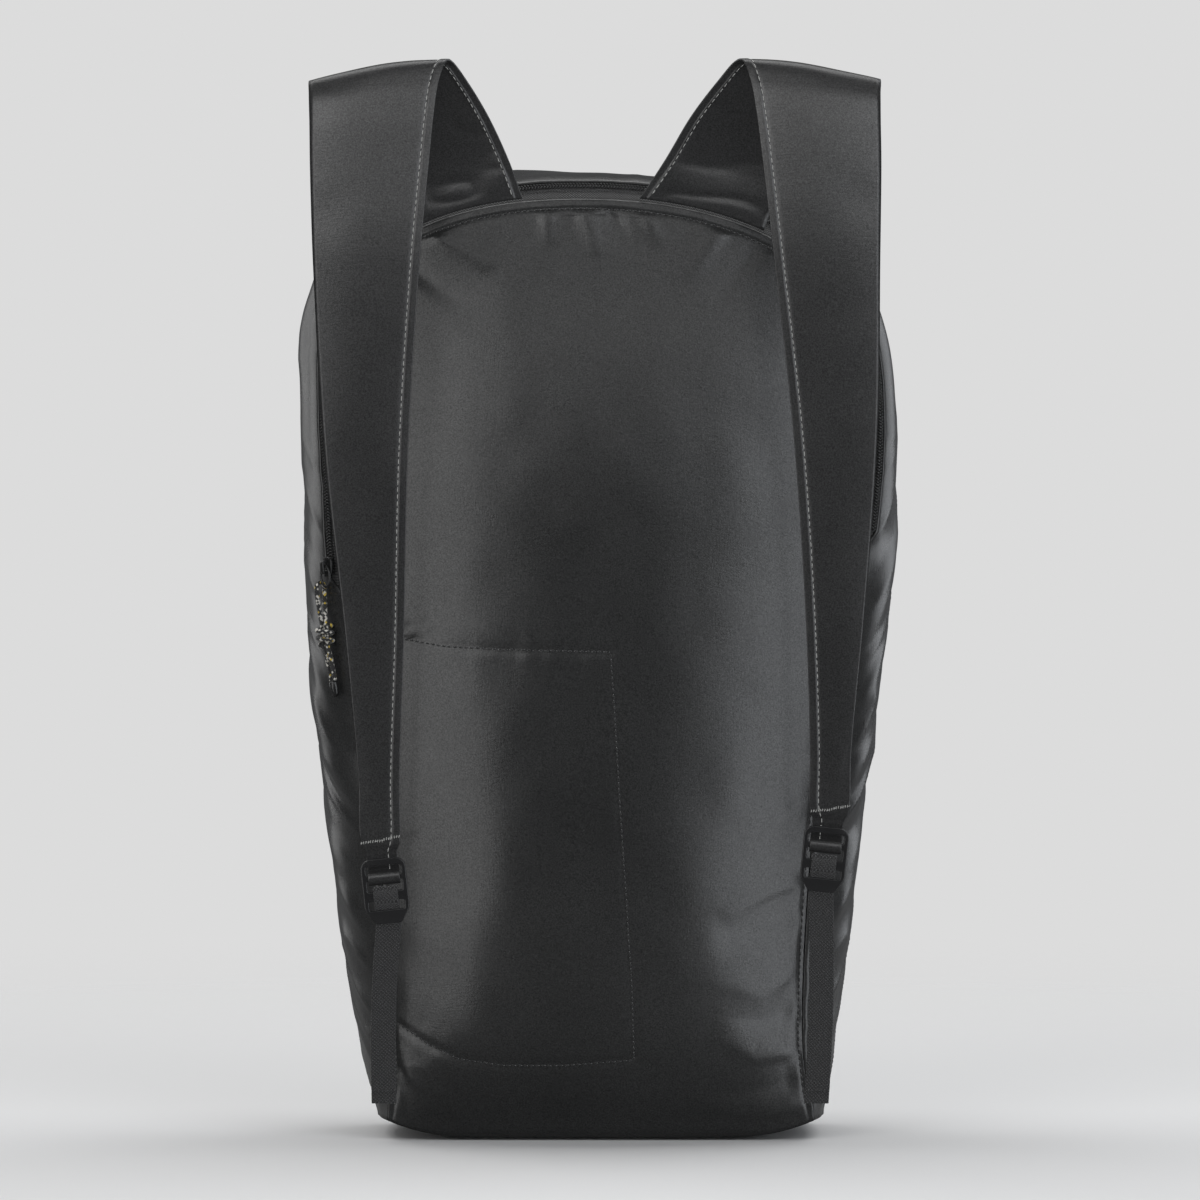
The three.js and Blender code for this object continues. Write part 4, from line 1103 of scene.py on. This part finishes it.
def zip_grid(start, end, columns, rows, drop, beyond=0):
    run = np.linspace(ZIP_LEFT - beyond, ZIP_RIGHT + beyond, columns + 1)
    t, v = np.meshgrid(run, np.linspace(0, 1, rows + 1))
    cloth = Cloth(gusset_point(t, lerp(start, end, v) / gusset_width(t)))
    sign = outward_sign(cloth)
    cloth.raised(np.full(t.shape, drop * sign))
    cloth.outward = cloth.normals * sign
    return cloth


COIL_PITCH = 0.68
COIL_BEAD = (1.9, 0.85, 1.7)  # a turn's size across the zip, along it and out
COIL_ROW = 0.95  # from the zip's middle to each row of turns
COIL_SLANT = 0.45


def make_zip():
    # the tape runs on past the coil, where the gusset's edge closes in on the seam
    tape = zip_grid(SEAM_INSET - 1.5, SEAM_INSET + TAPE_WIDTH, 420, 12, -TAPE_DROP, ZIP_FADE * 1.2)
    tape.piece("zip_tape_weave", TAPE, "zip_tape", "zip_tape", thickness=TAPE_THICKNESS)
    middle = zip_grid(CHAIN_START, CHAIN_START + CHAIN_WIDTH, 420, 2, CHAIN_RAISE)
    line, outward = middle.places[1], middle.outward[1]
    across = unit(middle.places[2] - middle.places[0])
    both = evenly(np.concatenate([line, outward, across], axis=1), COIL_PITCH)
    frames = []
    for k, row in enumerate(both):
        place, out, over = row[:3], unit(row[3:6]), unit(row[6:9])
        side = 1 if k % 2 else -1
        along = np.cross(out, over)
        over, along = unit(over + COIL_SLANT * side * along), unit(along - COIL_SLANT * side * over)
        axes = np.stack([over, along, out], axis=1) * COIL_BEAD * MM
        centre = place + over * side * COIL_ROW
        frames.append(np.concatenate([axes, metres(centre)[:, None]], axis=1))
    scatter("zip_coil_teeth", STITCH, frames, COIL, "zip_chain")
    threads_of_tape = []
    for row, side in ((0, -1), (2, 1)):
        edge = middle.places[row] + across * side * 0.5
        under = edge - middle.outward[row] * (CHAIN_THICKNESS / 2)
        threads_of_tape += stitch_frames(under, middle.outward[row], TAPE_STITCH, 0.1)
    scatter("zip_tape_stitches", STITCH, threads_of_tape, DARK_THREAD)


# The straps, their locks and their webbing

TACK_HEIGHT = STRAP_CREST * STRAP_RUN[-1][1]
ROOT_DEPTH = float(depth_at(BACK_CREST))


def strap_station(side, end_lift, row, edge):
    across, height, reach, half_share, rise, shift = row
    half = STRAP_HALF_WIDTH * half_share * edge
    z = STRAP_CREST * height + half * rise
    drop = (STRAP_CREST - z) / (STRAP_CREST - TACK_HEIGHT)
    x = side * (SEAM_HALF_WIDTH * across - half) - ARCH_SHIFT * shift
    return np.array([x, -ROOT_DEPTH - STRAP_REACH * reach, z + end_lift * drop])


def lock_place(side, end_lift):
    """A function from a place in the lock's own frame (across, towards the bag, up) to the bag's."""
    tilt = side * LOCK_TILT
    across = np.array([math.cos(tilt), 0, -math.sin(tilt)])
    up = np.array([math.sin(tilt), 0, math.cos(tilt)])
    middle = strap_station(side, end_lift, STRAP_RUN[-1], 0) - up * LOCK_BELOW_TACK
    return lambda x, y, z: middle + across * x + np.array([0, y, 0]) + up * z


def wrap_radius(thickness):
    return math.hypot(STRAP_BAR_HEIGHT, LOCK_THICKNESS) / 2 + 1.5 * LAY_GAP + thickness / 2


def turn(centre, radius, start, end, count):
    angles = [math.radians(lerp(start, end, i / (count - 1))) for i in range(count)]
    return [(radius * math.cos(a), centre + radius * math.sin(a)) for a in angles]


STRAP_CLOTH = 0.9
STRAP_HEM = 3.4
STRAP_STITCHES = STRAP_HEM + 0.7  # from the inner edge to the stitches


def make_strap(name, side, end_lift):
    place = lock_place(side, end_lift)
    radius = wrap_radius(CLOTH)
    behind = LOCK_THICKNESS / 2 + LAY_GAP + CLOTH / 2
    layer = CLOTH + 2 * LAY_GAP
    top_bar = LOCK_HEIGHT / 2 - TOP_BAR_HEIGHT / 2
    under = top_bar - TOP_BAR_HEIGHT / 2 - LAY_GAP
    local = [
        (behind * 0.8, top_bar + 4.5),
        (behind + LAY_GAP, top_bar + 0.5),
        (behind + 0.1, under),
        (0, (under + STRAP_BAR_RISE + STRAP_BAR_HEIGHT / 2) / 2 - 0.4),
        *turn(STRAP_BAR_RISE, radius, 140, 380, 9),
        (behind + layer, under - 1.1),
        (behind + layer + LAY_GAP, top_bar + 0.5),
        (behind * 0.8 + layer, top_bar + 4.5),
        (layer + 0.2, LOCK_BELOW_TACK - TACK_STEP),
    ]

    def root_edge(share):
        angle = np.arcsin(np.asarray(share) ** (1 / ARCH_WIDTH_POWER))
        seam = seam_point(-1, side * angle * ARCH_SHARE / (math.pi / 2))
        return seam + np.array([0, -CLOTH / 2, CLOTH / 2 + 2 * SEWN_GAP])

    def edge(way):
        root = root_edge(STRAP_ROOT_INNER if way > 0 else STRAP_ROOT_OUTER)
        return [
            root,
            *[strap_station(side, end_lift, row, way) for row in STRAP_RUN],
            *[place(-side * way * STRAP_END_HALF_WIDTH, y, z) for y, z in local],
        ]

    columns = 420
    shares = np.linspace(0, 1, columns + 1)
    inner, outer = edge(1), edge(-1)
    stations = len(inner) - 1
    inner, outer = smooth_curve(inner, shares), smooth_curve(outer, shares)
    # rows close together over the hem, even beyond it
    near = [0, 0.4, 1.1, 2.0, 2.9, 3.3, 3.7, 4.1, 4.6, 5.4, 6.6]
    wide = np.linalg.norm(inner - outer, axis=1)
    rows = []
    count = 22
    for k in range(len(near) + count):
        if k < len(near):
            rows.append(np.minimum(near[k], wide * 0.45 * (k + 1) / len(near)) / wide)
        else:
            first = rows[len(near) - 1]
            rows.append(lerp(first, 1.0, (k - len(near) + 1) / count))
    v = np.array(rows)
    places = lerp(inner[None], outer[None], v[..., None])
    fade = np.clip(1 - shares * stations, 0, 1) ** 2
    root = root_edge(lerp(STRAP_ROOT_INNER, STRAP_ROOT_OUTER, v))
    chord = lerp(inner[0], outer[0], v[..., None][:, 0])
    places = places + (root[:, 0] - chord)[:, None] * fade[None, :, None]
    cloth = Cloth(places)
    run = np.concatenate([[0], np.cumsum(np.linalg.norm(np.diff((inner + outer) / 2, axis=0), axis=1))])
    tack = run[int(columns * (len(STRAP_RUN)) / stations)]
    crest = int(columns * 5.2 / stations)
    front = (crest + int(columns * 9 / stations)) // 2
    sign = 1 if cloth.normals[5, front, 1] < 0 else -1
    across_mm = v * wide[None]
    along = np.repeat(run[None], len(v), axis=0)
    on_run = smoothstep(0, 30, along) * smoothstep(0, 26, tack - along)
    bow = 2.2 * (1 - (2 * v - 1) ** 2) * on_run * (wide[None] / 60)
    waves = 0.55 * noise(along / 55, across_mm / 30, 20 + side)
    waves = waves + 0.18 * noise(along / 16, across_mm / 20, 22)
    rise = bow + on_run * waves
    # crumples where the strap leaves the arch, and small gathers into the bar tack
    root_part = smoothstep(95, 10, along) * smoothstep(0, 8, along)
    wrinkles = creases(along / 11, across_mm / 24, 24 + side) - 0.4
    rise = rise + 1.1 * root_part * wrinkles * smoothstep(0, 8, across_mm)
    tack_part = smoothstep(34, 4, np.abs(tack - along - 4)) * (along < tack)
    rise = rise + 0.45 * tack_part * noise(across_mm / 4.2, along / 40, 26)
    before_lock = smoothstep(tack + 8, tack - 4, along)
    rise = rise + 0.3 * smoothstep(STRAP_HEM + 0.3, STRAP_HEM - 0.4, across_mm) * before_lock
    rise = rise - 0.22 * bell(across_mm, STRAP_STITCHES, 0.5) * before_lock
    cloth.raised(rise * sign)
    cloth.piece(name + "_strap_cloth", STRAP, "strap_nylon", name + "_shoulder_strap", thickness=STRAP_CLOTH)
    # the pale line of stitches beside the hem, on both faces, down into the lock
    frames = []
    stitched = np.arange(2, int(columns * (len(STRAP_RUN) + 4.2) / stations), 1.0)
    row_at = np.interp(STRAP_STITCHES, near, np.arange(len(near)))
    points, normals = cloth.at(stitched, np.full(len(stitched), row_at))
    for face in (1, -1):
        frames += stitch_frames(points, normals * sign * face, STRAP_STITCH, STRAP_CLOTH / 2 + 0.08)
    scatter(name + "_strap_stitches", STITCH, frames, PALE_THREAD)
    # the bar tack: close stitches across the strap, with a few loose ones over them
    tack_column = columns * len(STRAP_RUN) / stations
    tilted = tack_column + 1.6 * side * np.linspace(1, -1, 60) + 0.3 * noise(np.arange(60) / 3.0, 0.4, 27)
    points, normals = cloth.at(tilted, np.linspace(0, len(v) - 1, 60))
    normals = normals * sign
    frames = stitch_frames(points, normals, TACK_STITCH, STRAP_CLOTH / 2 + 0.12, math.radians(72))
    frames += stitch_frames(points, normals, LOOSE_TACK_STITCH, STRAP_CLOTH / 2 + 0.2, math.radians(15))
    scatter(name + "_bar_tack", STITCH, frames, PALE_THREAD)


def make_webbing(name, side, end_lift):
    place = lock_place(side, end_lift)
    radius = wrap_radius(WEBBING)
    behind_lip = LOCK_THICKNESS / 2 + 0.4 + WEBBING / 2
    layer = WEBBING + 0.5
    root = np.array([
        side * (half_width_at(WEBBING_ROOT_HEIGHT) + WEBBING_ROOT_OUT) + lean_at(WEBBING_ROOT_HEIGHT),
        -depth_at(WEBBING_ROOT_HEIGHT) - CLOTH / 2 - 2 * SEWN_GAP - WEBBING / 2,
        WEBBING_ROOT_HEIGHT,
    ], float)
    lip_end = -LOCK_HEIGHT / 2 - LIP_HEIGHT
    lock = place(0, behind_lip + layer, lip_end + 1.5)

    def middle_at(share, forward):
        point = lerp(lock, root, share)
        point[0] += side * WEBBING_BOW * math.sin(math.pi * share)
        point[1] -= forward
        return point

    tail_share = (lock[2] - WEBBING_TAIL_HEIGHT) / (lock[2] - root[2])
    upper = -WEBBING_BAR_DROP + (WEBBING_BAR_HEIGHT - STRAP_BAR_HEIGHT) / 2
    lower = -WEBBING_BAR_DROP - (WEBBING_BAR_HEIGHT - STRAP_BAR_HEIGHT) / 2
    local = [
        (behind_lip + layer, lower - 5),
        (radius + 0.9, lower - 1.6),
        *turn(upper, radius, 0, 180, 7),
        *turn(lower, radius, 180, 215, 2),
        (0.2, lower - 2.8),
        (behind_lip, lower - 4.9),
        (behind_lip, lip_end + 4),
    ]
    run = [middle_at(share, 0) for share in (1, 0.8, 0.6, 0.4, 0.2, 0)]
    tail = [middle_at(share * tail_share, layer) for share in (0, 0.25, 0.5, 0.75, 1)]
    over = np.array([WEBBING_HALF_WIDTH, 0, 0])
    edges = []
    for way in (-1, 1):
        stations = [p + over * way for p in run]
        stations += [place(way * WEBBING_HALF_WIDTH, y, z) for y, z in local]
        stations += [p + over * way for p in tail]
        edges.append(smooth_curve(stations, np.linspace(0, 1, 521)))
    v = np.linspace(0, 1, 15)[:, None]
    cloth = Cloth(lerp(edges[0][None], edges[1][None], v[..., None]))
    piece = cloth.piece(name + "_webbing_weave", WEB, "webbing", name + "_webbing", thickness=WEBBING * 0.92)
    soft = piece.modifiers.new("edge", "BEVEL")
    soft.width = 0.3 * MM
    soft.segments = 2
    soft.limit_method = "ANGLE"
    return cloth


def flat_plate(outline, holes, thickness, bevel):
    """A bevelled plate from flat outlines in millimetres, as a mesh in metres in the X, Y plane."""
    curve = bpy.data.curves.new("plate", "CURVE")
    curve.dimensions = "2D"
    curve.fill_mode = "BOTH"
    curve.extrude = (thickness / 2 - bevel) * MM
    curve.bevel_depth = bevel * MM
    curve.bevel_resolution = 3
    curve.offset = -bevel * MM
    for loop in [outline, *holes]:
        spline = curve.splines.new("POLY")
        spline.points.add(len(loop) - 1)
        for point, (x, y) in zip(spline.points, loop):
            point.co = (x * MM, y * MM, 0, 1)
        spline.use_cyclic_u = True
    holder = bpy.data.objects.new("plate", curve)
    bpy.context.scene.collection.objects.link(holder)
    bpy.context.view_layer.update()
    mesh = bpy.data.meshes.new_from_object(holder.evaluated_get(bpy.context.evaluated_depsgraph_get()))
    bpy.data.objects.remove(holder)
    bpy.data.curves.remove(curve)
    return mesh


def corner_arc(x, y, radius, start, count=7):
    angles = [math.radians(start + 90 * i / (count - 1)) for i in range(count)]
    return [(x + radius * math.cos(a), y + radius * math.sin(a)) for a in angles]


def rounded(left, right, low, high, radius):
    return (
        corner_arc(right - radius, high - radius, radius, 0)
        + corner_arc(left + radius, high - radius, radius, 90)
        + corner_arc(left + radius, low + radius, radius, 180)
        + corner_arc(right - radius, low + radius, radius, 270)
    )


def place_plate(mesh, matrix):
    shape = bmesh.new()
    shape.from_mesh(mesh)
    bmesh.ops.remove_doubles(shape, verts=shape.verts, dist=1e-6)
    bmesh.ops.transform(shape, verts=shape.verts, matrix=matrix)
    bmesh.ops.recalc_face_normals(shape, faces=shape.faces)
    shape.to_mesh(mesh)
    shape.free()
    return mesh


def make_lock(name, side, end_lift):
    half, top = LOCK_WIDTH / 2, LOCK_HEIGHT / 2
    inner = half - LOCK_RAIL
    outline = [(half, -top + 3)]
    outline += corner_arc(half - LOCK_CORNER, top - LOCK_CORNER, LOCK_CORNER, 0)
    outline += corner_arc(-half + LOCK_CORNER, top - LOCK_CORNER, LOCK_CORNER, 90)
    outline += [(-half, -top + 3), (-half + 0.1, -top + 1.6)]
    outline += [(-half + 0.35, -top + 0.6), (-half + 1, -top - 0.4)]
    outline += [(-LIP_TIP - 0.7, -top - LIP_HEIGHT + 0.5), (-LIP_TIP + 0.2, -top - LIP_HEIGHT)]
    outline += [(LIP_TIP - 0.2, -top - LIP_HEIGHT), (LIP_TIP + 0.7, -top - LIP_HEIGHT + 0.5)]
    outline += [(half - 1, -top - 0.4), (half - 0.35, -top + 0.6), (half - 0.1, -top + 1.6)]
    strap_bar, webbing_bar = STRAP_BAR_HEIGHT / 2, WEBBING_BAR_HEIGHT / 2
    windows = [
        rounded(-inner, inner, STRAP_BAR_RISE + strap_bar, top - TOP_BAR_HEIGHT, 1.6),
        rounded(-inner, inner, -WEBBING_BAR_DROP + webbing_bar, STRAP_BAR_RISE - strap_bar, 0.8),
        rounded(-inner, inner, -top + 0.6, -WEBBING_BAR_DROP - webbing_bar, 0.8),
    ]
    mesh = flat_plate(outline, windows, LOCK_THICKNESS, 0.45)
    place = lock_place(side, end_lift)
    origin = place(0, 0, 0)
    axes = np.stack([place(1, 0, 0) - origin, place(0, 0, 1) - origin, place(0, -1, 0) - origin], axis=1)
    matrix = frame_matrix(axes, metres(origin))
    place_plate(mesh, matrix)
    finish_piece(name + "_lock_moulding", mesh, LOCK, name + "_ladder_lock")


# The slider and its ring

def slider_frame():
    t = ZIP_LEFT + 0.006
    s = (CHAIN_START + CHAIN_WIDTH / 2) / float(gusset_width(np.array(t)))
    step = 1e-3
    point = lambda tt, ss: gusset_point(np.array([tt]), np.array([ss]))[0]
    here = point(t, s)
    along = unit(point(t - step, s) - point(t + step, s))
    across = point(t, s - step) - point(t, s + step)
    outward = unit(np.cross(along, across))
    across = np.cross(along, outward)
    raise_by = CHAIN_RAISE + CHAIN_THICKNESS / 2 + 2 * LAY_GAP
    return frame_matrix(np.stack([across, along, outward], axis=1), metres(here + outward * raise_by))


def make_slider():
    place = slider_frame()
    half, long = SLIDER_WIDTH / 2, SLIDER_LENGTH / 2
    outline = [(-half, -long + 1.5), (-half * 0.6, -long + 0.5), (0, -long), (half * 0.6, -long + 0.5)]
    outline += [(half, -long + 1.5), (half, -long + 3.5), (half * 0.78, long * 0.5), (half * 0.72, long)]
    outline += [(-half * 0.72, long), (-half * 0.78, long * 0.5), (-half, -long + 3.5)]
    plate = place_plate(
        flat_plate(outline, [], SLIDER_PLATE, 0.35), Matrix.Translation((0, 0, SLIDER_PLATE / 2 * MM))
    )
    reach = SLIDER_LENGTH * 0.36
    arch = [(-reach, 0), (reach, 0), (reach * 0.98, BRIDGE_HEIGHT * 0.55), (reach * 0.85, BRIDGE_HEIGHT * 0.85)]
    arch += [(reach * 0.5, BRIDGE_HEIGHT), (-reach * 0.5, BRIDGE_HEIGHT)]
    arch += [(-reach * 0.85, BRIDGE_HEIGHT * 0.85), (-reach * 0.98, BRIDGE_HEIGHT * 0.55)]
    clear = reach - BRIDGE_WIRE - 0.5
    eye = rounded(-clear, clear, 0.5, BRIDGE_HEIGHT - BRIDGE_WIRE, 0.5)
    bridge = flat_plate(arch, [eye], BRIDGE_WIDTH, 0.3)
    upright = Matrix.Translation((0, 0, (SLIDER_PLATE - 0.3) * MM))
    stand = Matrix.Rotation(math.pi / 2, 4, "Z") @ Matrix.Rotation(math.pi / 2, 4, "X")
    place_plate(bridge, upright @ stand)
    shape = bmesh.new()
    shape.from_mesh(plate)
    shape.from_mesh(bridge)
    bmesh.ops.transform(shape, verts=shape.verts, matrix=place)
    finish_piece("zip_slider_cast", as_mesh(shape, "slider"), SLIDER, "zip_slider")

    shape = bmesh.new()
    ring = bmesh.ops.create_circle(shape, segments=12, radius=RING_WIRE * MM)
    bmesh.ops.rotate(shape, verts=ring["verts"], cent=(0, 0, 0), matrix=Matrix.Rotation(math.pi / 2, 3, "X"))
    bmesh.ops.translate(shape, verts=ring["verts"], vec=(RING_HALF_WIDTH * MM, 0, 0))
    bmesh.ops.spin(
        shape, geom=shape.verts[:] + shape.edges[:], cent=(0, 0, 0), axis=(0, 0, 1), angle=2 * math.pi,
        steps=40, use_merge=True,
    )
    bmesh.ops.remove_doubles(shape, verts=shape.verts, dist=1e-7)
    bmesh.ops.recalc_face_normals(shape, faces=shape.faces)
    droop = 0.03
    eye_middle = SLIDER_PLATE + (BRIDGE_HEIGHT - BRIDGE_WIRE) / 2
    offset = Vector((0, RING_HALF_LENGTH - 0.3, eye_middle - RING_HALF_LENGTH * math.sin(droop))) * MM
    stretch = Matrix.Diagonal((1, RING_HALF_LENGTH / RING_HALF_WIDTH, 1, 1))
    matrix = place @ Matrix.Translation(offset) @ Matrix.Rotation(-droop, 4, "X") @ stretch
    bmesh.ops.transform(shape, verts=shape.verts, matrix=matrix)
    finish_piece("pull_ring_wire", as_mesh(shape, "ring"), SLIDER, "pull_ring")


# The stage

def soft_box(name, across, up, radiance, distance=2.4, color=(1, 1, 1), roll=0):
    """A soft box seen from the bag between two azimuths and two heights in degrees, with an even glow.

    Azimuth 0 is the camera's side and grows to its right. A roll in degrees leans its top to lower azimuths.
    """
    a, e = math.radians(sum(across) / 2), math.radians(sum(up) / 2)
    data = bpy.data.lights.new(name, "AREA")
    data.shape = "RECTANGLE"
    data.size = 2 * distance * math.tan(math.radians(across[1] - across[0]) / 2)
    data.size_y = 2 * distance * math.tan(math.radians(up[1] - up[0]) / 2)
    data.energy = radiance * math.pi * data.size * data.size_y
    data.color = color
    light = bpy.data.objects.new(name, data)
    light.visible_camera = False
    bpy.context.scene.collection.objects.link(light)
    offset = Vector((math.sin(a) * math.cos(e), -math.cos(a) * math.cos(e), math.sin(e))) * distance
    light.location = Vector((0, 0, 0.24)) + offset
    leaning = Quaternion((0, 0, 1), math.radians(roll))
    light.rotation_euler = (offset.to_track_quat("Z", "Y") @ leaning).to_euler()
    return light


def make_floor():
    """A pale floor that fades out far off, so that no horizon shows."""
    shape = bmesh.new()
    bmesh.ops.create_circle(shape, cap_ends=True, segments=96, radius=3.0)
    mesh = as_mesh(shape, "floor")
    floor = bpy.data.objects.new("floor", mesh)
    bpy.context.scene.collection.objects.link(floor)
    paint, tree, shader = material("pale floor", (0.74, 0.74, 0.74), 0.95, Specular_IOR_Level=0.1)
    place = add(tree, "ShaderNodeTexCoord")
    away = add(tree, "ShaderNodeVectorMath", operation="LENGTH")
    tree.links.new(place.outputs["Object"], away.inputs[0])
    fade = add(tree, "ShaderNodeMapRange", interpolation_type="SMOOTHSTEP")
    fade.inputs["From Min"].default_value = 0.25
    fade.inputs["From Max"].default_value = 1.1
    fade.inputs["To Min"].default_value = 1
    fade.inputs["To Max"].default_value = 0
    socket(tree, away.outputs["Value"], fade, "Value")
    socket(tree, fade.outputs["Result"], shader, "Alpha")
    # the floor sends little light back up on to the bag, as dark card round it would
    path = add(tree, "ShaderNodeLightPath")
    tones = ramp(tree, path.outputs["Is Camera Ray"], [(0.0, (0.2, 0.2, 0.2)), (1.0, (0.74, 0.74, 0.74))])
    socket(tree, tones, shader, "Base Color")
    mesh.materials.append(paint)


def make_studio():
    world = bpy.data.worlds.new("studio")
    bpy.context.scene.world = world
    world.use_nodes = True
    tree = world.node_tree
    seen = add(tree, "ShaderNodeBackground", Color=(0.716, 0.716, 0.716, 1), Strength=1.0)
    fill = add(tree, "ShaderNodeBackground", Color=(0.95, 0.97, 1.0, 1), Strength=0.1)
    path = add(tree, "ShaderNodeLightPath")
    mix = add(tree, "ShaderNodeMixShader")
    tree.links.new(path.outputs["Is Camera Ray"], mix.inputs["Fac"])
    tree.links.new(fill.outputs["Background"], mix.inputs[1])
    tree.links.new(seen.outputs["Background"], mix.inputs[2])
    tree.links.new(mix.outputs["Shader"], tree.nodes["World Output"].inputs["Surface"])

    boxes = [
        soft_box("left box", (-56, -22), (-24, 40), 1.75, roll=-24),
        soft_box("right box edge", (17, 34), (-34, 38), 0.4, color=(0.97, 0.98, 1.0), roll=27),
        soft_box("right box", (33, 65), (-34, 40), 2.1, distance=2.5, color=(0.93, 0.96, 1.0), roll=27),
    ]
    soft_box("front top box", (-34, 34), (28, 54), 0.75, distance=2.7)
    strap_box = soft_box("strap box", (-40, 34), (13, 36), 1.15, distance=2.6)
    soft_box("top box", (-45, 45), (84, 118), 2.8)
    soft_box("left rim", (-142, -116), (-10, 45), 1.1)
    soft_box("right rim", (116, 142), (-10, 45), 1.4, color=(0.93, 0.96, 1.0))
    # the side boxes reach the back panel right up to the straps, which hang close in front of it
    straps = [piece for piece in PIECES if piece.name.endswith("_strap_cloth")]
    passed = bpy.data.collections.new("what the side boxes pass")
    near_straps = ("_moulding", "_webbing_weave")
    beside = [piece for piece in PIECES if piece.name.endswith(near_straps)]
    for piece in [*straps, *beside, bpy.data.objects["floor"]]:
        passed.objects.link(piece)
    for member in passed.collection_objects:
        member.light_linking.link_state = "EXCLUDE"
    for light in boxes:
        light.light_linking.blocker_collection = passed
    lit = bpy.data.collections.new("what the strap box lights")
    for piece in straps:
        lit.objects.link(piece)
    strap_box.light_linking.receiver_collection = lit
    bpy.context.scene.view_settings.view_transform = "Standard"


make_camera()
make_cord()
make_back()
make_front()
make_base()
make_pocket()
make_gusset()
make_zip()
for strap in STRAPS:
    make_strap(*strap)
    make_webbing(*strap)
    make_lock(*strap)
make_slider()
make_floor()
make_studio()

bpy.data.meshes.remove(STITCH)
